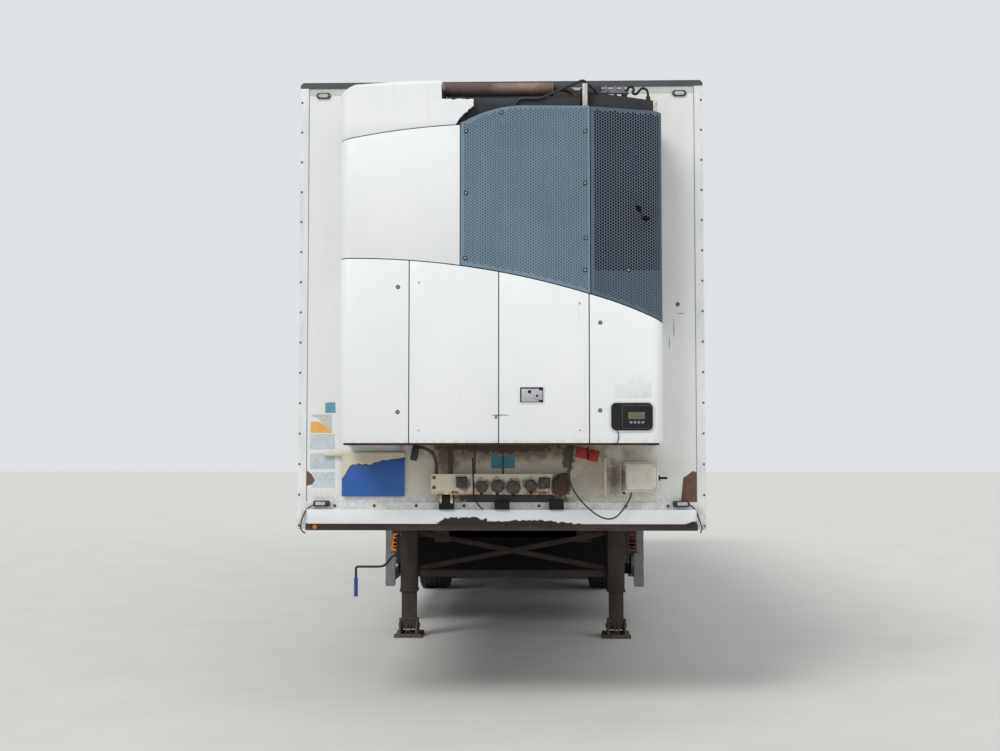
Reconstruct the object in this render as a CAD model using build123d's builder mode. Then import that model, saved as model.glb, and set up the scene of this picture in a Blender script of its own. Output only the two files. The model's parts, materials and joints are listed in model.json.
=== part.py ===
# Refrigerated semi trailer, parked on its landing legs
# X runs across the trailer, Y back from the nose to the doors and Z up from the ground, in millimetres.
from build123d import *
import math
import os

os.makedirs("parts", exist_ok=True)

# Body
body_width = 2600.0
body_length = 13550.0
roof_height = 4050.0
plate_height = 1160.0
neck_height = 84.0
floor_thickness = 80.0
wall_thickness = 55.0
roof_thickness = 82.0
bulkhead_thickness = 90.0
sheet = 5.0
extrusion_width = 55.0
corner_radius = 14.0
roof_rail_height = 110.0
side_rail_height = 106.0
rail_flange = 60.0
roof_cap_height = 38.0
front_rail_height = 44.0
front_rail_depth = 12.0

# Nose below the bulkhead
bumper_depth = 60.0
bumper_height = 90.0
bumper_wall = 4.0
bumper_corner = 45.0
plate_thickness = 10.0
plate_length = 3000.0
plate_lip = 14.0
kingpin_setback = 1600.0

# Running gear
axle_places = [7950.0, 9260.0, 10570.0]
track = 2040.0
tyre_radius = 536.0
tyre_width = 385.0
bead_radius = 286.0
rim_width = 320.0
rim_offset = 120.0
spindle_radius = 55.0
axle_half = 64.0
running_gap = 1.0
seat_gap = 0.3

# Chassis
rail_spacing = 1300.0
rail_web = 8.0
flange_width = 140.0
flange_thickness = 12.0
rail_depth = 424.0
gooseneck_start = 3080.0
gooseneck_end = 3900.0
bearer_pitch = 655.0
bearer_width = 50.0

# Landing gear
leg_place = 3620.0
leg_spacing = 1860.0
leg_tube = 148.0
leg_ram = 128.0
leg_tube_bottom = 403.0
leg_foot_height = 160.0
brace_height = 563.0

# Refrigeration unit on the nose
unit_depth = 450.0
unit_left = -978.0
unit_right = 999.0
unit_bottom = 1712.0
unit_drop = 105.0
unit_corner = 75.0
panel_thickness = 22.0
panel_gap = 6.0
door_seam_left = -546.0
door_seam_right = 549.0
grille_left = -235.0
grille_seam = 559.0
grille_recess = 6.0

# Rear end
frame_depth = 100.0
post_width = 64.0
door_thickness = 80.0
door_gap = 6.0
hinge_inset = 14.0
hinge_reach = 22.0
hinge_radius = 13.0
gear_reach = 40.0

front_y = -(body_length + gear_reach - unit_depth) / 2
rear_y = front_y + body_length
half = body_width / 2
inner_half = half - sheet - wall_thickness
floor_under = plate_height + neck_height
floor_top = floor_under + floor_thickness
roof_under = roof_height - sheet - roof_thickness + 1
box_end = rear_y - frame_depth
unit_face = front_y - unit_depth
axle_height = tyre_radius
leg_y = front_y + leg_place
rail_x = rail_spacing / 2


def save(builder, name):
    builder.part.label = name
    export_step(builder.part, f"parts/{name}.step")


def block(x0, x1, y0, y1, z0, z1, mode=Mode.ADD):
    """A box between two corners, in the current part."""
    with Locations(((x0 + x1) / 2, (y0 + y1) / 2, (z0 + z1) / 2)):
        Box(x1 - x0, y1 - y0, z1 - z0, mode=mode)


# Insulated box: bulkhead, walls, roof and floor, each one sandwich panel
with BuildPart() as bulkhead:
    block(-half + sheet, half - sheet, front_y, front_y + bulkhead_thickness, floor_under, roof_under)
save(bulkhead, "bulkhead")

for name, side in (("wall_left", -1), ("wall_right", 1)):
    with BuildPart() as wall:
        outer, inner = side * (half - sheet), side * inner_half
        block(min(outer, inner), max(outer, inner), front_y + bulkhead_thickness, box_end, floor_under,
              roof_under)
    save(wall, name)

with BuildPart() as roof:
    block(-half + sheet, half - sheet, front_y, box_end, roof_under, roof_height - sheet)
save(roof, "roof")

with BuildPart() as floor:
    block(-inner_half, inner_half, front_y + bulkhead_thickness, box_end, floor_under, floor_top)
save(floor, "floor")

# Aluminium extrusions on the four long edges that show: two corner posts and two roof rails
with BuildPart() as edge_extrusions:
    post_bottom = plate_height + 6
    post_top = roof_height - roof_cap_height
    for side in (-1, 1):
        with BuildSketch(Plane.XY.offset(post_bottom)) as corner:
            with BuildLine():
                Polyline(
                    (side * (half - extrusion_width), front_y - sheet),
                    (side * half, front_y - sheet),
                    (side * half, front_y + extrusion_width),
                    (side * (half - sheet), front_y + extrusion_width),
                    (side * (half - sheet), front_y),
                    (side * (half - extrusion_width), front_y),
                    close=True,
                )
            make_face()
            fillet(corner.vertices().sort_by_distance((side * half, front_y - sheet))[0], sheet - 0.5)
        extrude(amount=post_top - post_bottom)
        rail_low = roof_height - roof_rail_height
        rail_front = front_y + extrusion_width + seat_gap
        outer, inner = side * half, side * (half - sheet)
        block(min(outer, inner), max(outer, inner), rail_front, box_end, rail_low, roof_height)
        inner = side * (half - extrusion_width)
        block(min(outer, inner), max(outer, inner), rail_front, box_end, roof_height - sheet, roof_height)
save(edge_extrusions, "edge_extrusions")

with BuildPart() as roof_cap:
    with BuildSketch(Plane.XZ.offset(-front_y)) as cap_face:
        with Locations((0, roof_height - roof_cap_height / 2)):
            Rectangle(body_width, roof_cap_height)
        fillet(cap_face.vertices().group_by(Axis.Y)[-1], corner_radius * 2)
    extrude(amount=sheet)
    block(-half + 2 * corner_radius, half - 2 * corner_radius, front_y, front_y + extrusion_width,
          roof_height - sheet, roof_height)
save(roof_cap, "roof_cap")

# Aluminium rails round the foot of the box
with BuildPart() as bottom_rails:
    rail_front = front_y + extrusion_width + seat_gap
    for side in (-1, 1):
        outer, inner = side * half, side * (half - sheet)
        block(min(outer, inner), max(outer, inner), rail_front, box_end, floor_under - sheet,
              floor_under - sheet + side_rail_height)
        inner = side * (half - rail_flange)
        block(min(outer, inner), max(outer, inner), rail_front, box_end, floor_under - sheet, floor_under)
    rail_half = half - extrusion_width - seat_gap
    rail_top = floor_top + 14
    block(-rail_half, rail_half, front_y - front_rail_depth, front_y, rail_top - front_rail_height, rail_top)
save(bottom_rails, "bottom_rails")

# White pressed-steel bumper across the nose
bumper_top = floor_top + 14 - front_rail_height
bumper_bottom = bumper_top - bumper_height
with BuildPart() as front_bumper:
    bumper_half = half - extrusion_width - 5
    with BuildSketch(Plane.XY.offset(bumper_bottom)) as outer_plan:
        with Locations((0, front_y - bumper_depth / 2)):
            Rectangle(2 * bumper_half, bumper_depth)
        fillet(outer_plan.vertices().group_by(Axis.Y)[0], bumper_corner)
    extrude(amount=bumper_height)
    with BuildSketch(Plane.XY.offset(bumper_bottom + bumper_wall)) as inner_plan:
        with Locations((0, front_y - (bumper_depth - bumper_wall) / 2)):
            Rectangle(2 * (bumper_half - bumper_wall), bumper_depth - bumper_wall)
        fillet(inner_plan.vertices().group_by(Axis.Y)[0], bumper_corner - bumper_wall)
    extrude(amount=bumper_height - 2 * bumper_wall, mode=Mode.SUBTRACT)
save(front_bumper, "front_bumper")

# Rub plate that slides on the tractor's coupling, bored for the kingpin, with its lip and its stiffeners
shank_radius, shank_length = 36.5, 35.0
kingpin_y = front_y + kingpin_setback
with BuildPart() as rub_plate:
    plate_half = half - extrusion_width
    block(-plate_half, plate_half, front_y, front_y + plate_length, plate_height,
          plate_height + plate_thickness)
    block(-plate_half, plate_half, front_y - plate_lip, front_y, plate_height, bumper_bottom)
    stiffener = 12.0
    for place in (60, 560, 1060, 1420, 1780, 2280, 2780):
        block(-plate_half + 20, plate_half - 20, front_y + place, front_y + place + stiffener,
              plate_height + plate_thickness, floor_under)
    for place in (-rail_x, -330, 330, rail_x):
        block(place - stiffener / 2, place + stiffener / 2, front_y + 60, front_y + 2780,
              plate_height + plate_thickness, floor_under)
    with Locations((0, kingpin_y, plate_height + plate_thickness / 2)):
        Cylinder(shank_radius + seat_gap, plate_thickness, mode=Mode.SUBTRACT)
save(rub_plate, "rub_plate")

# Kingpin, two-inch neck, hung through the rub plate by its square flange
neck_radius, neck_length = 25.4, 28.0
collar_radius, collar_length = 35.7, 21.0
flange_half, flange_height = 75.0, 16.0
with BuildPart() as kingpin:
    plate_top = plate_height + plate_thickness + seat_gap
    neck_top = plate_height - shank_length
    with BuildSketch(Plane.XZ.offset(-kingpin_y)):
        with BuildLine():
            Polyline(
                (0, plate_top),
                (shank_radius, plate_top),
                (shank_radius, neck_top),
                (neck_radius, neck_top),
                (neck_radius, neck_top - neck_length),
                (collar_radius, neck_top - neck_length),
                (collar_radius, neck_top - neck_length - collar_length),
                (0, neck_top - neck_length - collar_length),
                close=True,
            )
        make_face()
    revolve(axis=Axis((0, kingpin_y, 0), (0, 0, 1)))
    block(-flange_half, flange_half, kingpin_y - flange_half, kingpin_y + flange_half, plate_top,
          plate_top + flange_height)
save(kingpin, "kingpin")

# Chassis: two welded I-beams with a gooseneck, cross members and outriggers
rail_bottom = floor_under - rail_depth
rail_end = box_end - 60
neck_bottom = plate_height + 30
outrigger_root = 100.0
outrigger_tip = 60.0
tip = half - rail_flange - 20
bearer_start = front_y + axle_places[0] - (axle_places[1] - axle_places[0]) / 4 - 7 * bearer_pitch
bearer_count = int((rail_end - bearer_width - bearer_start) / bearer_pitch) + 1
bearer_places = [bearer_start + i * bearer_pitch for i in range(bearer_count)]
with BuildPart() as chassis:
    for side in (-1, 1):
        x = side * rail_x
        contour = [
            (front_y + plate_length, neck_bottom),
            (front_y + gooseneck_start, neck_bottom),
            (front_y + gooseneck_end, rail_bottom),
            (rail_end - 900, rail_bottom),
            (rail_end, rail_bottom + 160),
        ]
        with BuildSketch(Plane.YZ.offset(x - rail_web / 2)):
            with BuildLine():
                Polyline(*contour, (rail_end, floor_under), (front_y + plate_length, floor_under), close=True)
            make_face()
        extrude(amount=rail_web)
        with BuildSketch(Plane.YZ.offset(x - flange_width / 2)):
            with BuildLine():
                Polyline(
                    *contour,
                    *[(y, z + flange_thickness) for y, z in reversed(contour)],
                    close=True,
                )
            make_face()
        extrude(amount=flange_width)
        block(x - flange_width / 2, x + flange_width / 2, front_y + plate_length, rail_end,
              floor_under - flange_thickness, floor_under)
    for y in bearer_places:
        block(-rail_x, rail_x, y, y + bearer_width, floor_under - 130, floor_under)
        for side in (-1, 1):
            with BuildSketch(Plane.XZ.offset(-y - bearer_width)):
                with BuildLine():
                    Polyline((side * rail_x, floor_under), (side * tip, floor_under),
                             (side * tip, floor_under - outrigger_tip),
                             (side * rail_x, floor_under - outrigger_root), close=True)
                make_face()
            extrude(amount=bearer_width)
save(chassis, "chassis")

# Landing gear: two legs with gearboxes, a cross bar and an X brace
leg_top = floor_under - 106
bar_size = 60.0
brace_size = 45.0
brace_plate = 8.0
with BuildPart() as landing_legs:
    for side in (-1, 1):
        x = side * leg_spacing / 2
        block(x - leg_tube / 2, x + leg_tube / 2, leg_y - leg_tube / 2, leg_y + leg_tube / 2,
              leg_tube_bottom, leg_top)
        gear_in, gear_out = side * leg_spacing / 2, side * (leg_spacing / 2 + leg_tube / 2 + 32)
        block(min(gear_in, gear_out), max(gear_in, gear_out), leg_y - 62, leg_y + 62, 660, 900)
        web_face = side * (rail_x + rail_web / 2 + seat_gap)
        plate_in, plate_out = web_face, side * (leg_spacing / 2 + leg_tube / 2)
        block(min(plate_in, plate_out), max(plate_in, plate_out), leg_y + leg_tube / 2,
              leg_y + leg_tube / 2 + 10, 980, leg_top)
        block(x - leg_ram / 2, x + leg_ram / 2, leg_y - leg_ram / 2, leg_y + leg_ram / 2,
              leg_tube_bottom - seat_gap, leg_tube_bottom + 330, mode=Mode.SUBTRACT)
    inner = leg_spacing / 2 - leg_tube / 2
    block(-inner, inner, leg_y - bar_size / 2, leg_y + bar_size / 2, brace_height - bar_size / 2,
          brace_height + bar_size / 2)
    rise_low, rise_high = brace_height + 40, 928.0
    for side, depth in ((1, -brace_plate), (-1, 0.0)):
        slope = math.atan2(rise_high - rise_low, 2 * inner)
        across = brace_size / 2 / math.cos(slope)
        with BuildSketch(Plane.XZ.offset(-leg_y - depth - brace_plate)):
            with BuildLine():
                Polyline((-side * inner, rise_low - across), (side * inner, rise_high - across),
                         (side * inner, rise_high + across), (-side * inner, rise_low + across), close=True)
            make_face()
        extrude(amount=brace_plate)
save(landing_legs, "landing_legs")

foot_width = 250.0
foot_length = 290.0
bolt_radius = 20.0
with BuildPart() as leg_feet:
    for side in (-1, 1):
        x = side * leg_spacing / 2
        ram = leg_ram / 2 - seat_gap
        block(x - ram, x + ram, leg_y - ram, leg_y + ram, 70, leg_tube_bottom + 320)
        block(x - ram - 2, x + ram + 2, leg_y - bolt_radius, leg_y + bolt_radius, 100 - bolt_radius,
              100 + bolt_radius)
        block(x - foot_width / 2, x + foot_width / 2, leg_y - foot_length / 2, leg_y + foot_length / 2, 0, 16)
        for edge in (-1, 1):
            cheek = x + edge * (ram + 10)
            with BuildSketch(Plane.YZ.offset(cheek - 8)):
                with BuildLine():
                    Polyline((leg_y - foot_length / 2, 16), (leg_y + foot_length / 2, 16),
                             (leg_y + 60, leg_foot_height), (leg_y - 60, leg_foot_height), close=True)
                make_face()
            extrude(amount=16)
            with BuildSketch(Plane(origin=(cheek + edge * 8, leg_y, 100), z_dir=(edge, 0, 0))):
                RegularPolygon(bolt_radius, 6)
            extrude(amount=14)
save(leg_feet, "leg_feet")

# Folding crank on the left leg's gearbox
crank_radius = 11.0
crank_height = 725.0
with BuildPart() as crank_handle:
    gear_out = -(leg_spacing / 2 + leg_tube / 2 + 32)
    crank_end = gear_out - 380
    with BuildLine(Plane.XZ.offset(-leg_y)) as crank_path:
        Polyline(
            (gear_out - seat_gap, crank_height),
            (gear_out - 49, crank_height),
            (gear_out - 124, crank_height - 107),
            (crank_end, crank_height - 107),
            (crank_end, crank_height - 205),
        )
    with BuildSketch(Plane(origin=crank_path.line @ 0, z_dir=crank_path.line % 0)):
        Circle(crank_radius)
    sweep(transition=Transition.RIGHT)
    with Locations((crank_end, leg_y, crank_height - 289)):
        Cylinder(18, 172)
save(crank_handle, "crank_handle")

# Side guards between the legs and the wheels, each closed in front by an upright plate
guard_front = front_y + 4500
guard_back = front_y + axle_places[0] - tyre_radius - 110
guard_inset, guard_depth, guard_plate = 54.0, 30.0, 6.0
with BuildPart() as side_guards:
    for side in (-1, 1):
        face, back = side * (half - guard_inset), side * (half - guard_inset - guard_depth)
        for z in (400, 640, 880):
            block(min(face, back), max(face, back), guard_front, guard_back, z - 44, z + 76)
        root = side * (half - guard_inset - guard_depth - 60)
        block(min(face, root), max(face, root), guard_front - guard_plate, guard_front, 356,
              floor_under - sheet - seat_gap)
        for y in (guard_front, bearer_places[4] - 250, bearer_places[5] + 150, guard_back - 60):
            block(min(back, root), max(back, root), y, y + 60, 370, floor_under - seat_gap)
save(side_guards, "side_guards")

# Wheel chocks in their holders behind the legs
chock_x, chock_z = 1110.0, 745.0
chock_y = bearer_places[2]
holder_share = (chock_x - 60 - rail_x) / (tip - rail_x)
holder_top = floor_under - outrigger_root + holder_share * (outrigger_root - outrigger_tip) - seat_gap
with BuildPart() as chock_holders:
    for side in (-1, 1):
        x = side * chock_x
        y = chock_y
        block(x - 60, x + 60, y + bearer_width / 2 - 4, y + bearer_width / 2 + 4, chock_z - 40, holder_top)
        block(x - 60, x + 60, y - 200, y + bearer_width / 2 - 4, chock_z - 40, chock_z - 34)
save(chock_holders, "chock_holders")

with BuildPart() as wheel_chocks:
    for side in (-1, 1):
        x = side * chock_x
        y = chock_y + bearer_width / 2 - 4 - seat_gap
        with BuildSketch(Plane.YZ.offset(x - 50)):
            with BuildLine():
                base = chock_z - 34 + seat_gap
                Line((y, base), (y - 190, base))
                Line((y - 190, base), (y - 190, base + 20))
                RadiusArc((y - 190, base + 20), (y - 20, base + 160), 320)
                Line((y - 20, base + 160), (y, base + 160))
                Line((y, base + 160), (y, base))
            make_face()
        extrude(amount=100)
save(wheel_chocks, "wheel_chocks")

# Pallet box hung under the floor behind the legs
pallet_front = front_y + 4620
pallet_length = 1350.0
pallet_half = 1130.0
pallet_bottom, pallet_top = 470.0, rail_bottom - seat_gap
with BuildPart() as pallet_box:
    block(-pallet_half, pallet_half, pallet_front, pallet_front + pallet_length, pallet_bottom, pallet_top)
    block(-pallet_half - 1, pallet_half + 1, pallet_front + 30, pallet_front + pallet_length - 30,
          pallet_bottom + 30, pallet_top - 30, mode=Mode.SUBTRACT)
save(pallet_box, "pallet_box")

# Tanks: the unit's fuel tank on the left and two air tanks across the rails
tank_front = pallet_front + pallet_length + 180
tank_middle, tank_height = 800.0, 460.0
with BuildPart() as tanks:
    tank_in, tank_out = -(rail_x + flange_width / 2 + 30), -1130.0
    with BuildSketch(Plane.XZ.offset(-tank_front)) as tank_end:
        with Locations(((tank_in + tank_out) / 2, tank_middle)):
            RectangleRounded(tank_in - tank_out, tank_height, 90)
    extrude(amount=-760)
    for y in (tank_front + 20, tank_front + 600):
        block(tank_in - 120, tank_in - 70, y, y + 60, tank_middle + tank_height / 2 - 10, floor_under)
    for place in (0, 330):
        with Locations(Location((0, tank_front + 200 + place, rail_bottom + 160), (0, 90, 0))):
            Cylinder(123, rail_spacing - rail_web - 2 * seat_gap)
save(tanks, "tanks")

# Axles with their spindles and brake chambers
with BuildPart() as axles:
    for place in axle_places:
        y = front_y + place
        beam_half = track / 2 - 110
        block(-beam_half, beam_half, y - axle_half, y + axle_half, axle_height - axle_half,
              axle_height + axle_half)
        with Locations(Location((0, y, axle_height), (0, 90, 0))):
            Cylinder(spindle_radius, track + 2 * 60)
        for side in (-1, 1):
            chamber_x = side * 470
            with BuildSketch(Plane.YZ.offset(chamber_x - 75)):
                with Locations((y + axle_half + 60, axle_height + 60)):
                    RegularPolygon(82, 12)
            extrude(amount=150)
            block(chamber_x - 70, chamber_x + 70, y, y + axle_half + 60, axle_height - 20, axle_height + 40)
save(axles, "axles")

# Trailing arms under the axles, each held in a hanger bracket below the rail and carrying an air spring
arm_tail = 380.0
hanger_reach = 500.0
hanger_bottom = 590.0
hanger_half = 60.0
slot_half = 52.0
pivot = 18.0
with BuildPart() as trailing_arms:
    for place in axle_places:
        y = front_y + place
        eye_y = y - hanger_reach
        for side in (-1, 1):
            x = side * rail_x
            with BuildSketch(Plane.YZ.offset(x - hanger_half)):
                with BuildLine():
                    Polyline((eye_y - 130, rail_bottom - seat_gap), (eye_y + 130, rail_bottom - seat_gap),
                             (eye_y + 60, hanger_bottom), (eye_y - 60, hanger_bottom), close=True)
                make_face()
            extrude(amount=2 * hanger_half)
            block(x - slot_half, x + slot_half, eye_y - 75, eye_y + 140, hanger_bottom - 10,
                  hanger_bottom + 170, mode=Mode.SUBTRACT)
            block(x - slot_half, x + slot_half, eye_y - pivot, eye_y + pivot, 652 - pivot, 652 + pivot)
            with BuildSketch(Plane.YZ.offset(x - 45)):
                with BuildLine():
                    Polyline(
                        (y - hanger_reach - 45, 640),
                        (y - hanger_reach + 45, 700),
                        (y - 110, axle_height + axle_half + 70),
                        (y + 110, axle_height + axle_half + 70),
                        (y + arm_tail - 112, 560),
                        (y + arm_tail + 90, 560),
                        (y + arm_tail + 90, 530),
                        (y + arm_tail - 60, 520),
                        (y + axle_half + 2, axle_height + axle_half + seat_gap),
                        (y - axle_half - 2, axle_height + axle_half + seat_gap),
                        (y - hanger_reach + 45, 610),
                        close=True,
                    )
                make_face()
            extrude(amount=90)
save(trailing_arms, "trailing_arms")

# Air springs: a rolling rubber bellows over its piston, each drawn as a many-sided column
piston_height = 95.0
with BuildPart() as air_springs:
    low, high = 560 + seat_gap, rail_bottom - seat_gap
    piston_top = low + piston_height
    for radius, sides, bottom, top in ((88, 12, low, piston_top), (142, 16, piston_top, high)):
        with BuildSketch(Plane.XY.offset(bottom)):
            for place in axle_places:
                with Locations(*[(side * rail_x, front_y + place + arm_tail) for side in (-1, 1)]):
                    RegularPolygon(radius, sides)
        extrude(amount=top - bottom)
save(air_springs, "air_springs")

# Mudguards over the six wheels, on tubes from the rails
guard_gap = 58.0
guard_sheet = 5.0
guard_overhang = 20.0
guard_flats = 10
guard_turns = [math.radians(22 + 136 * i / guard_flats) for i in range(guard_flats + 1)]
with BuildPart() as mudguards:
    for place in axle_places:
        y = front_y + place
        for side in (-1, 1):
            x = side * track / 2
            reach = tyre_width / 2 + guard_overhang
            radius = tyre_radius + guard_gap
            under, over = [
                [(y + r * math.cos(turn), axle_height + r * math.sin(turn)) for turn in guard_turns]
                for r in (radius, radius + guard_sheet)
            ]
            with BuildSketch(Plane.YZ.offset(x - reach)):
                with BuildLine():
                    Polyline(*under, *reversed(over), close=True)
                make_face()
            extrude(amount=2 * reach)
            top = axle_height + radius
            tube_in, tube_out = side * (rail_x + rail_web / 2 + seat_gap), x + side * reach
            block(min(tube_in, tube_out), max(tube_in, tube_out), y - 16, y + 16, top, top + 32)
save(mudguards, "mudguards")

# Six wheels on their tyres, each rim one dish with its hub
tread_half = tyre_width / 2 - 24
hub_radius = 112.0
hub_inner = -60.0
hub_reach = 60.0
corner_names = {-1: "left", 1: "right"}
for number, place in enumerate(axle_places, start=1):
    for side in (-1, 1):
        centre = (side * track / 2, front_y + place, axle_height)
        section = Plane(origin=centre, x_dir=(side, 0, 0), z_dir=(0, -side, 0))
        spin = Axis(centre, (1, 0, 0))
        with BuildPart() as tyre:
            with BuildSketch(section):
                with BuildLine():
                    bulge = (tyre_radius + bead_radius) / 2
                    bead = rim_width / 2 - 18
                    Polyline(
                        (-tread_half, tyre_radius),
                        (tread_half, tyre_radius),
                        (tyre_width / 2, bulge),
                        (bead, bead_radius),
                        (-bead, bead_radius),
                        (-tyre_width / 2, bulge),
                        close=True,
                    )
                make_face()
            revolve(axis=spin)
        save(tyre, f"tyre_{number}_{corner_names[side]}")
        with BuildPart() as rim:
            with BuildSketch(section):
                barrel = bead_radius - seat_gap
                bore = spindle_radius + running_gap
                edge = rim_width / 2
                with BuildLine():
                    Polyline(
                        (-edge + 16, barrel),
                        (edge - 20, barrel),
                        (edge - 20, barrel - 24),
                        (rim_offset + 12, hub_radius),
                        (rim_offset + hub_reach, hub_radius),
                        (rim_offset + hub_reach, 0),
                        (66, 0),
                        (66, bore),
                        (hub_inner, bore),
                        (hub_inner, hub_radius),
                        (rim_offset, hub_radius),
                        (rim_offset, barrel - 12),
                        (-edge + 16, barrel - 12),
                        close=True,
                    )
                make_face()
            revolve(axis=spin)
        save(rim, f"rim_{number}_{corner_names[side]}")

# Rear portal with the hinge lugs
frame_bottom = floor_under
sill_top = floor_top
header_bottom = roof_under - 20
post_face = rear_y - 5
hinge_x = half - hinge_inset
hinge_y = rear_y + hinge_reach
door_low, door_high = sill_top + door_gap, header_bottom - door_gap
hinge_heights = [door_low + share * (door_high - door_low) for share in (0.07, 0.36, 0.65, 0.93)]
knuckle = 46.0
with BuildPart() as rear_frame:
    block(-half, half, box_end, post_face, frame_bottom, roof_height)
    block(-half + post_width, half - post_width, box_end - 1, post_face + 1, sill_top, header_bottom,
          mode=Mode.SUBTRACT)
    for side in (-1, 1):
        for z in hinge_heights:
            for step in (-1, 1):
                level = z + step * (knuckle + seat_gap)
                inner, outer = side * (hinge_x - hinge_radius), side * (hinge_x + hinge_radius)
                block(min(inner, outer), max(inner, outer), post_face, hinge_y + hinge_radius,
                      level - knuckle / 2, level + knuckle / 2)
save(rear_frame, "rear_frame")

# Rear doors with their hinge straps, and the lock gear on them
door_front = rear_y - door_thickness
door_outer = half - post_width - door_gap
hinge_strap = 8.0
bar_radius = 13.5
handle_height = door_low + 490
for name, side in (("left", -1), ("right", 1)):
    with BuildPart() as door:
        near, far = side * door_gap / 2, side * door_outer
        block(min(near, far), max(near, far), door_front, rear_y, door_low, door_high)
        for z in hinge_heights:
            reach_in, reach_out = side * (door_outer - 140), side * hinge_x
            block(min(reach_in, reach_out), max(reach_in, reach_out), rear_y, rear_y + hinge_strap,
                  z - knuckle / 2, z + knuckle / 2)
            with Locations((side * hinge_x, hinge_y, z)):
                Cylinder(hinge_radius, knuckle)
            inner, outer = side * (hinge_x - hinge_radius), side * hinge_x
            block(min(inner, outer), max(inner, outer), rear_y, hinge_y, z - knuckle / 2, z + knuckle / 2)
    save(door, f"door_{name}")
    with BuildPart() as gear:
        bar_back = rear_y + gear_reach - 2 * bar_radius
        for place, reach in ((330.0, 180.0), (930.0, -180.0)):
            x = side * place
            with Locations((x, rear_y + gear_reach - bar_radius, (door_low + door_high) / 2)):
                Cylinder(bar_radius, door_high - door_low - 30)
            for share in (0.02, 0.17, 0.49, 0.78, 0.98):
                z = door_low + share * (door_high - door_low)
                block(x - 45, x + 45, rear_y + seat_gap, bar_back - seat_gap, z - 22, z + 22)
            handle_in, handle_out = x, x + side * reach
            block(min(handle_in, handle_out), max(handle_in, handle_out), rear_y + 14, rear_y + 26,
                  handle_height, handle_height + 30)
    save(gear, f"door_{name}_gear")

# Rear underrun beam on two stays from the chassis rails
underrun_bottom = 480.0
with BuildPart() as rear_underrun:
    beam_y = rear_y - 260
    block(-half + 120, half - 120, beam_y, beam_y + 100, underrun_bottom, underrun_bottom + 120)
    for side in (-1, 1):
        x = side * rail_x
        with BuildSketch(Plane.YZ.offset(x + side * (flange_width / 2 + seat_gap) - (10 if side < 0 else 0))):
            with BuildLine():
                Polyline((beam_y, underrun_bottom), (beam_y + 100, underrun_bottom),
                         (beam_y + 100, underrun_bottom + 140), (rail_end - 120, floor_under - 64),
                         (rail_end - 420, floor_under - 64), (beam_y, underrun_bottom + 140), close=True)
            make_face()
        extrude(amount=10)
save(rear_underrun, "rear_underrun")

# Lamps: two oval position lamps and two marker lamps in front, two tail lamp clusters behind
with BuildPart() as lamps:
    for side in (-1, 1):
        with BuildSketch(Plane.XZ.offset(-front_y + seat_gap)):
            with Locations((side * (half - 150), roof_height - 85)):
                SlotOverall(92, 38)
        extrude(amount=12)
        with BuildSketch(Plane.XZ.offset(-front_y + front_rail_depth + seat_gap)):
            with Locations((side * (half - 160), floor_top + 6)):
                Rectangle(102, 36)
        extrude(amount=30)
        inner, outer = side * (half - 540), side * (half - 140)
        block(min(inner, outer), max(inner, outer), rear_y - 60, rear_y - 5, floor_under - 160,
              floor_under - seat_gap)
save(lamps, "lamps")


# Refrigeration unit: every panel is a stretch of one rounded shell, cut to its outline seen from the front
def seam(points, drop=0.0):
    """Lower seam of the upper panels, lowered by drop."""
    return [(x, z - drop) for x, z in points]


unit_top = roof_height - unit_drop
unit_middle = (unit_bottom + unit_top) / 2
door_crest = unit_bottom + 1188
low_seam = [
    # x, height over the unit's bottom
    (x, unit_bottom + height)
    for x, height in ((-1010, 1129), (-214, 1081), (549, 909), (790, 828), (1040, 712))
]
high_seam = [
    # x, depth under the unit's top
    (x, unit_top - depth)
    for x, depth in ((-1010, 382), (-640, 316), (-262, 281))
]


def unit_shell(low, high, recess=0.0):
    """Rounded U of the unit's casing between two heights, its front set back by recess."""
    with BuildSketch(Plane.XY.offset(low)) as plan:
        with Locations(((unit_left + unit_right) / 2, (unit_face + recess + front_y) / 2)):
            Rectangle(unit_right - unit_left, unit_depth - recess)
        fillet(plan.vertices().group_by(Axis.Y)[0], unit_corner)
    extrude(plan.sketch, amount=high - low)
    with BuildSketch(Plane.XY.offset(low)) as hollow:
        with Locations(((unit_left + unit_right) / 2, (unit_face + panel_thickness + front_y) / 2)):
            Rectangle(unit_right - unit_left - 2 * panel_thickness, unit_depth - panel_thickness)
        fillet(hollow.vertices().group_by(Axis.Y)[0], unit_corner - panel_thickness)
    extrude(hollow.sketch, amount=high - low, mode=Mode.SUBTRACT)


def under_seam(x0, x1, low, gap):
    """Outline from low up to the curved seam, between two verticals."""
    with BuildSketch(Plane.XZ.offset(-front_y), mode=Mode.PRIVATE) as outline:
        with BuildLine():
            a, b, c, d, e = seam(low_seam, gap)
            ThreePointArc(a, b, c)
            ThreePointArc(c, d, e)
            Polyline(e, (e[0], low), (a[0], low), a)
        make_face()
        with Locations(((x0 + x1) / 2, (low + door_crest) / 2)):
            Rectangle(x1 - x0, door_crest - low, mode=Mode.INTERSECT)
    return outline.sketch


unit_panels = [
    # name, x from, x to
    ("unit_door_left", door_seam_left + panel_gap / 2, -panel_gap / 2),
    ("unit_door_right", panel_gap / 2, door_seam_right - panel_gap / 2),
]
for name, x0, x1 in unit_panels:
    with BuildPart() as unit_door:
        unit_shell(unit_bottom, door_crest)
        extrude(under_seam(x0, x1, unit_bottom - 1, panel_gap), amount=unit_depth + 1, mode=Mode.INTERSECT)
    save(unit_door, name)

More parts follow.
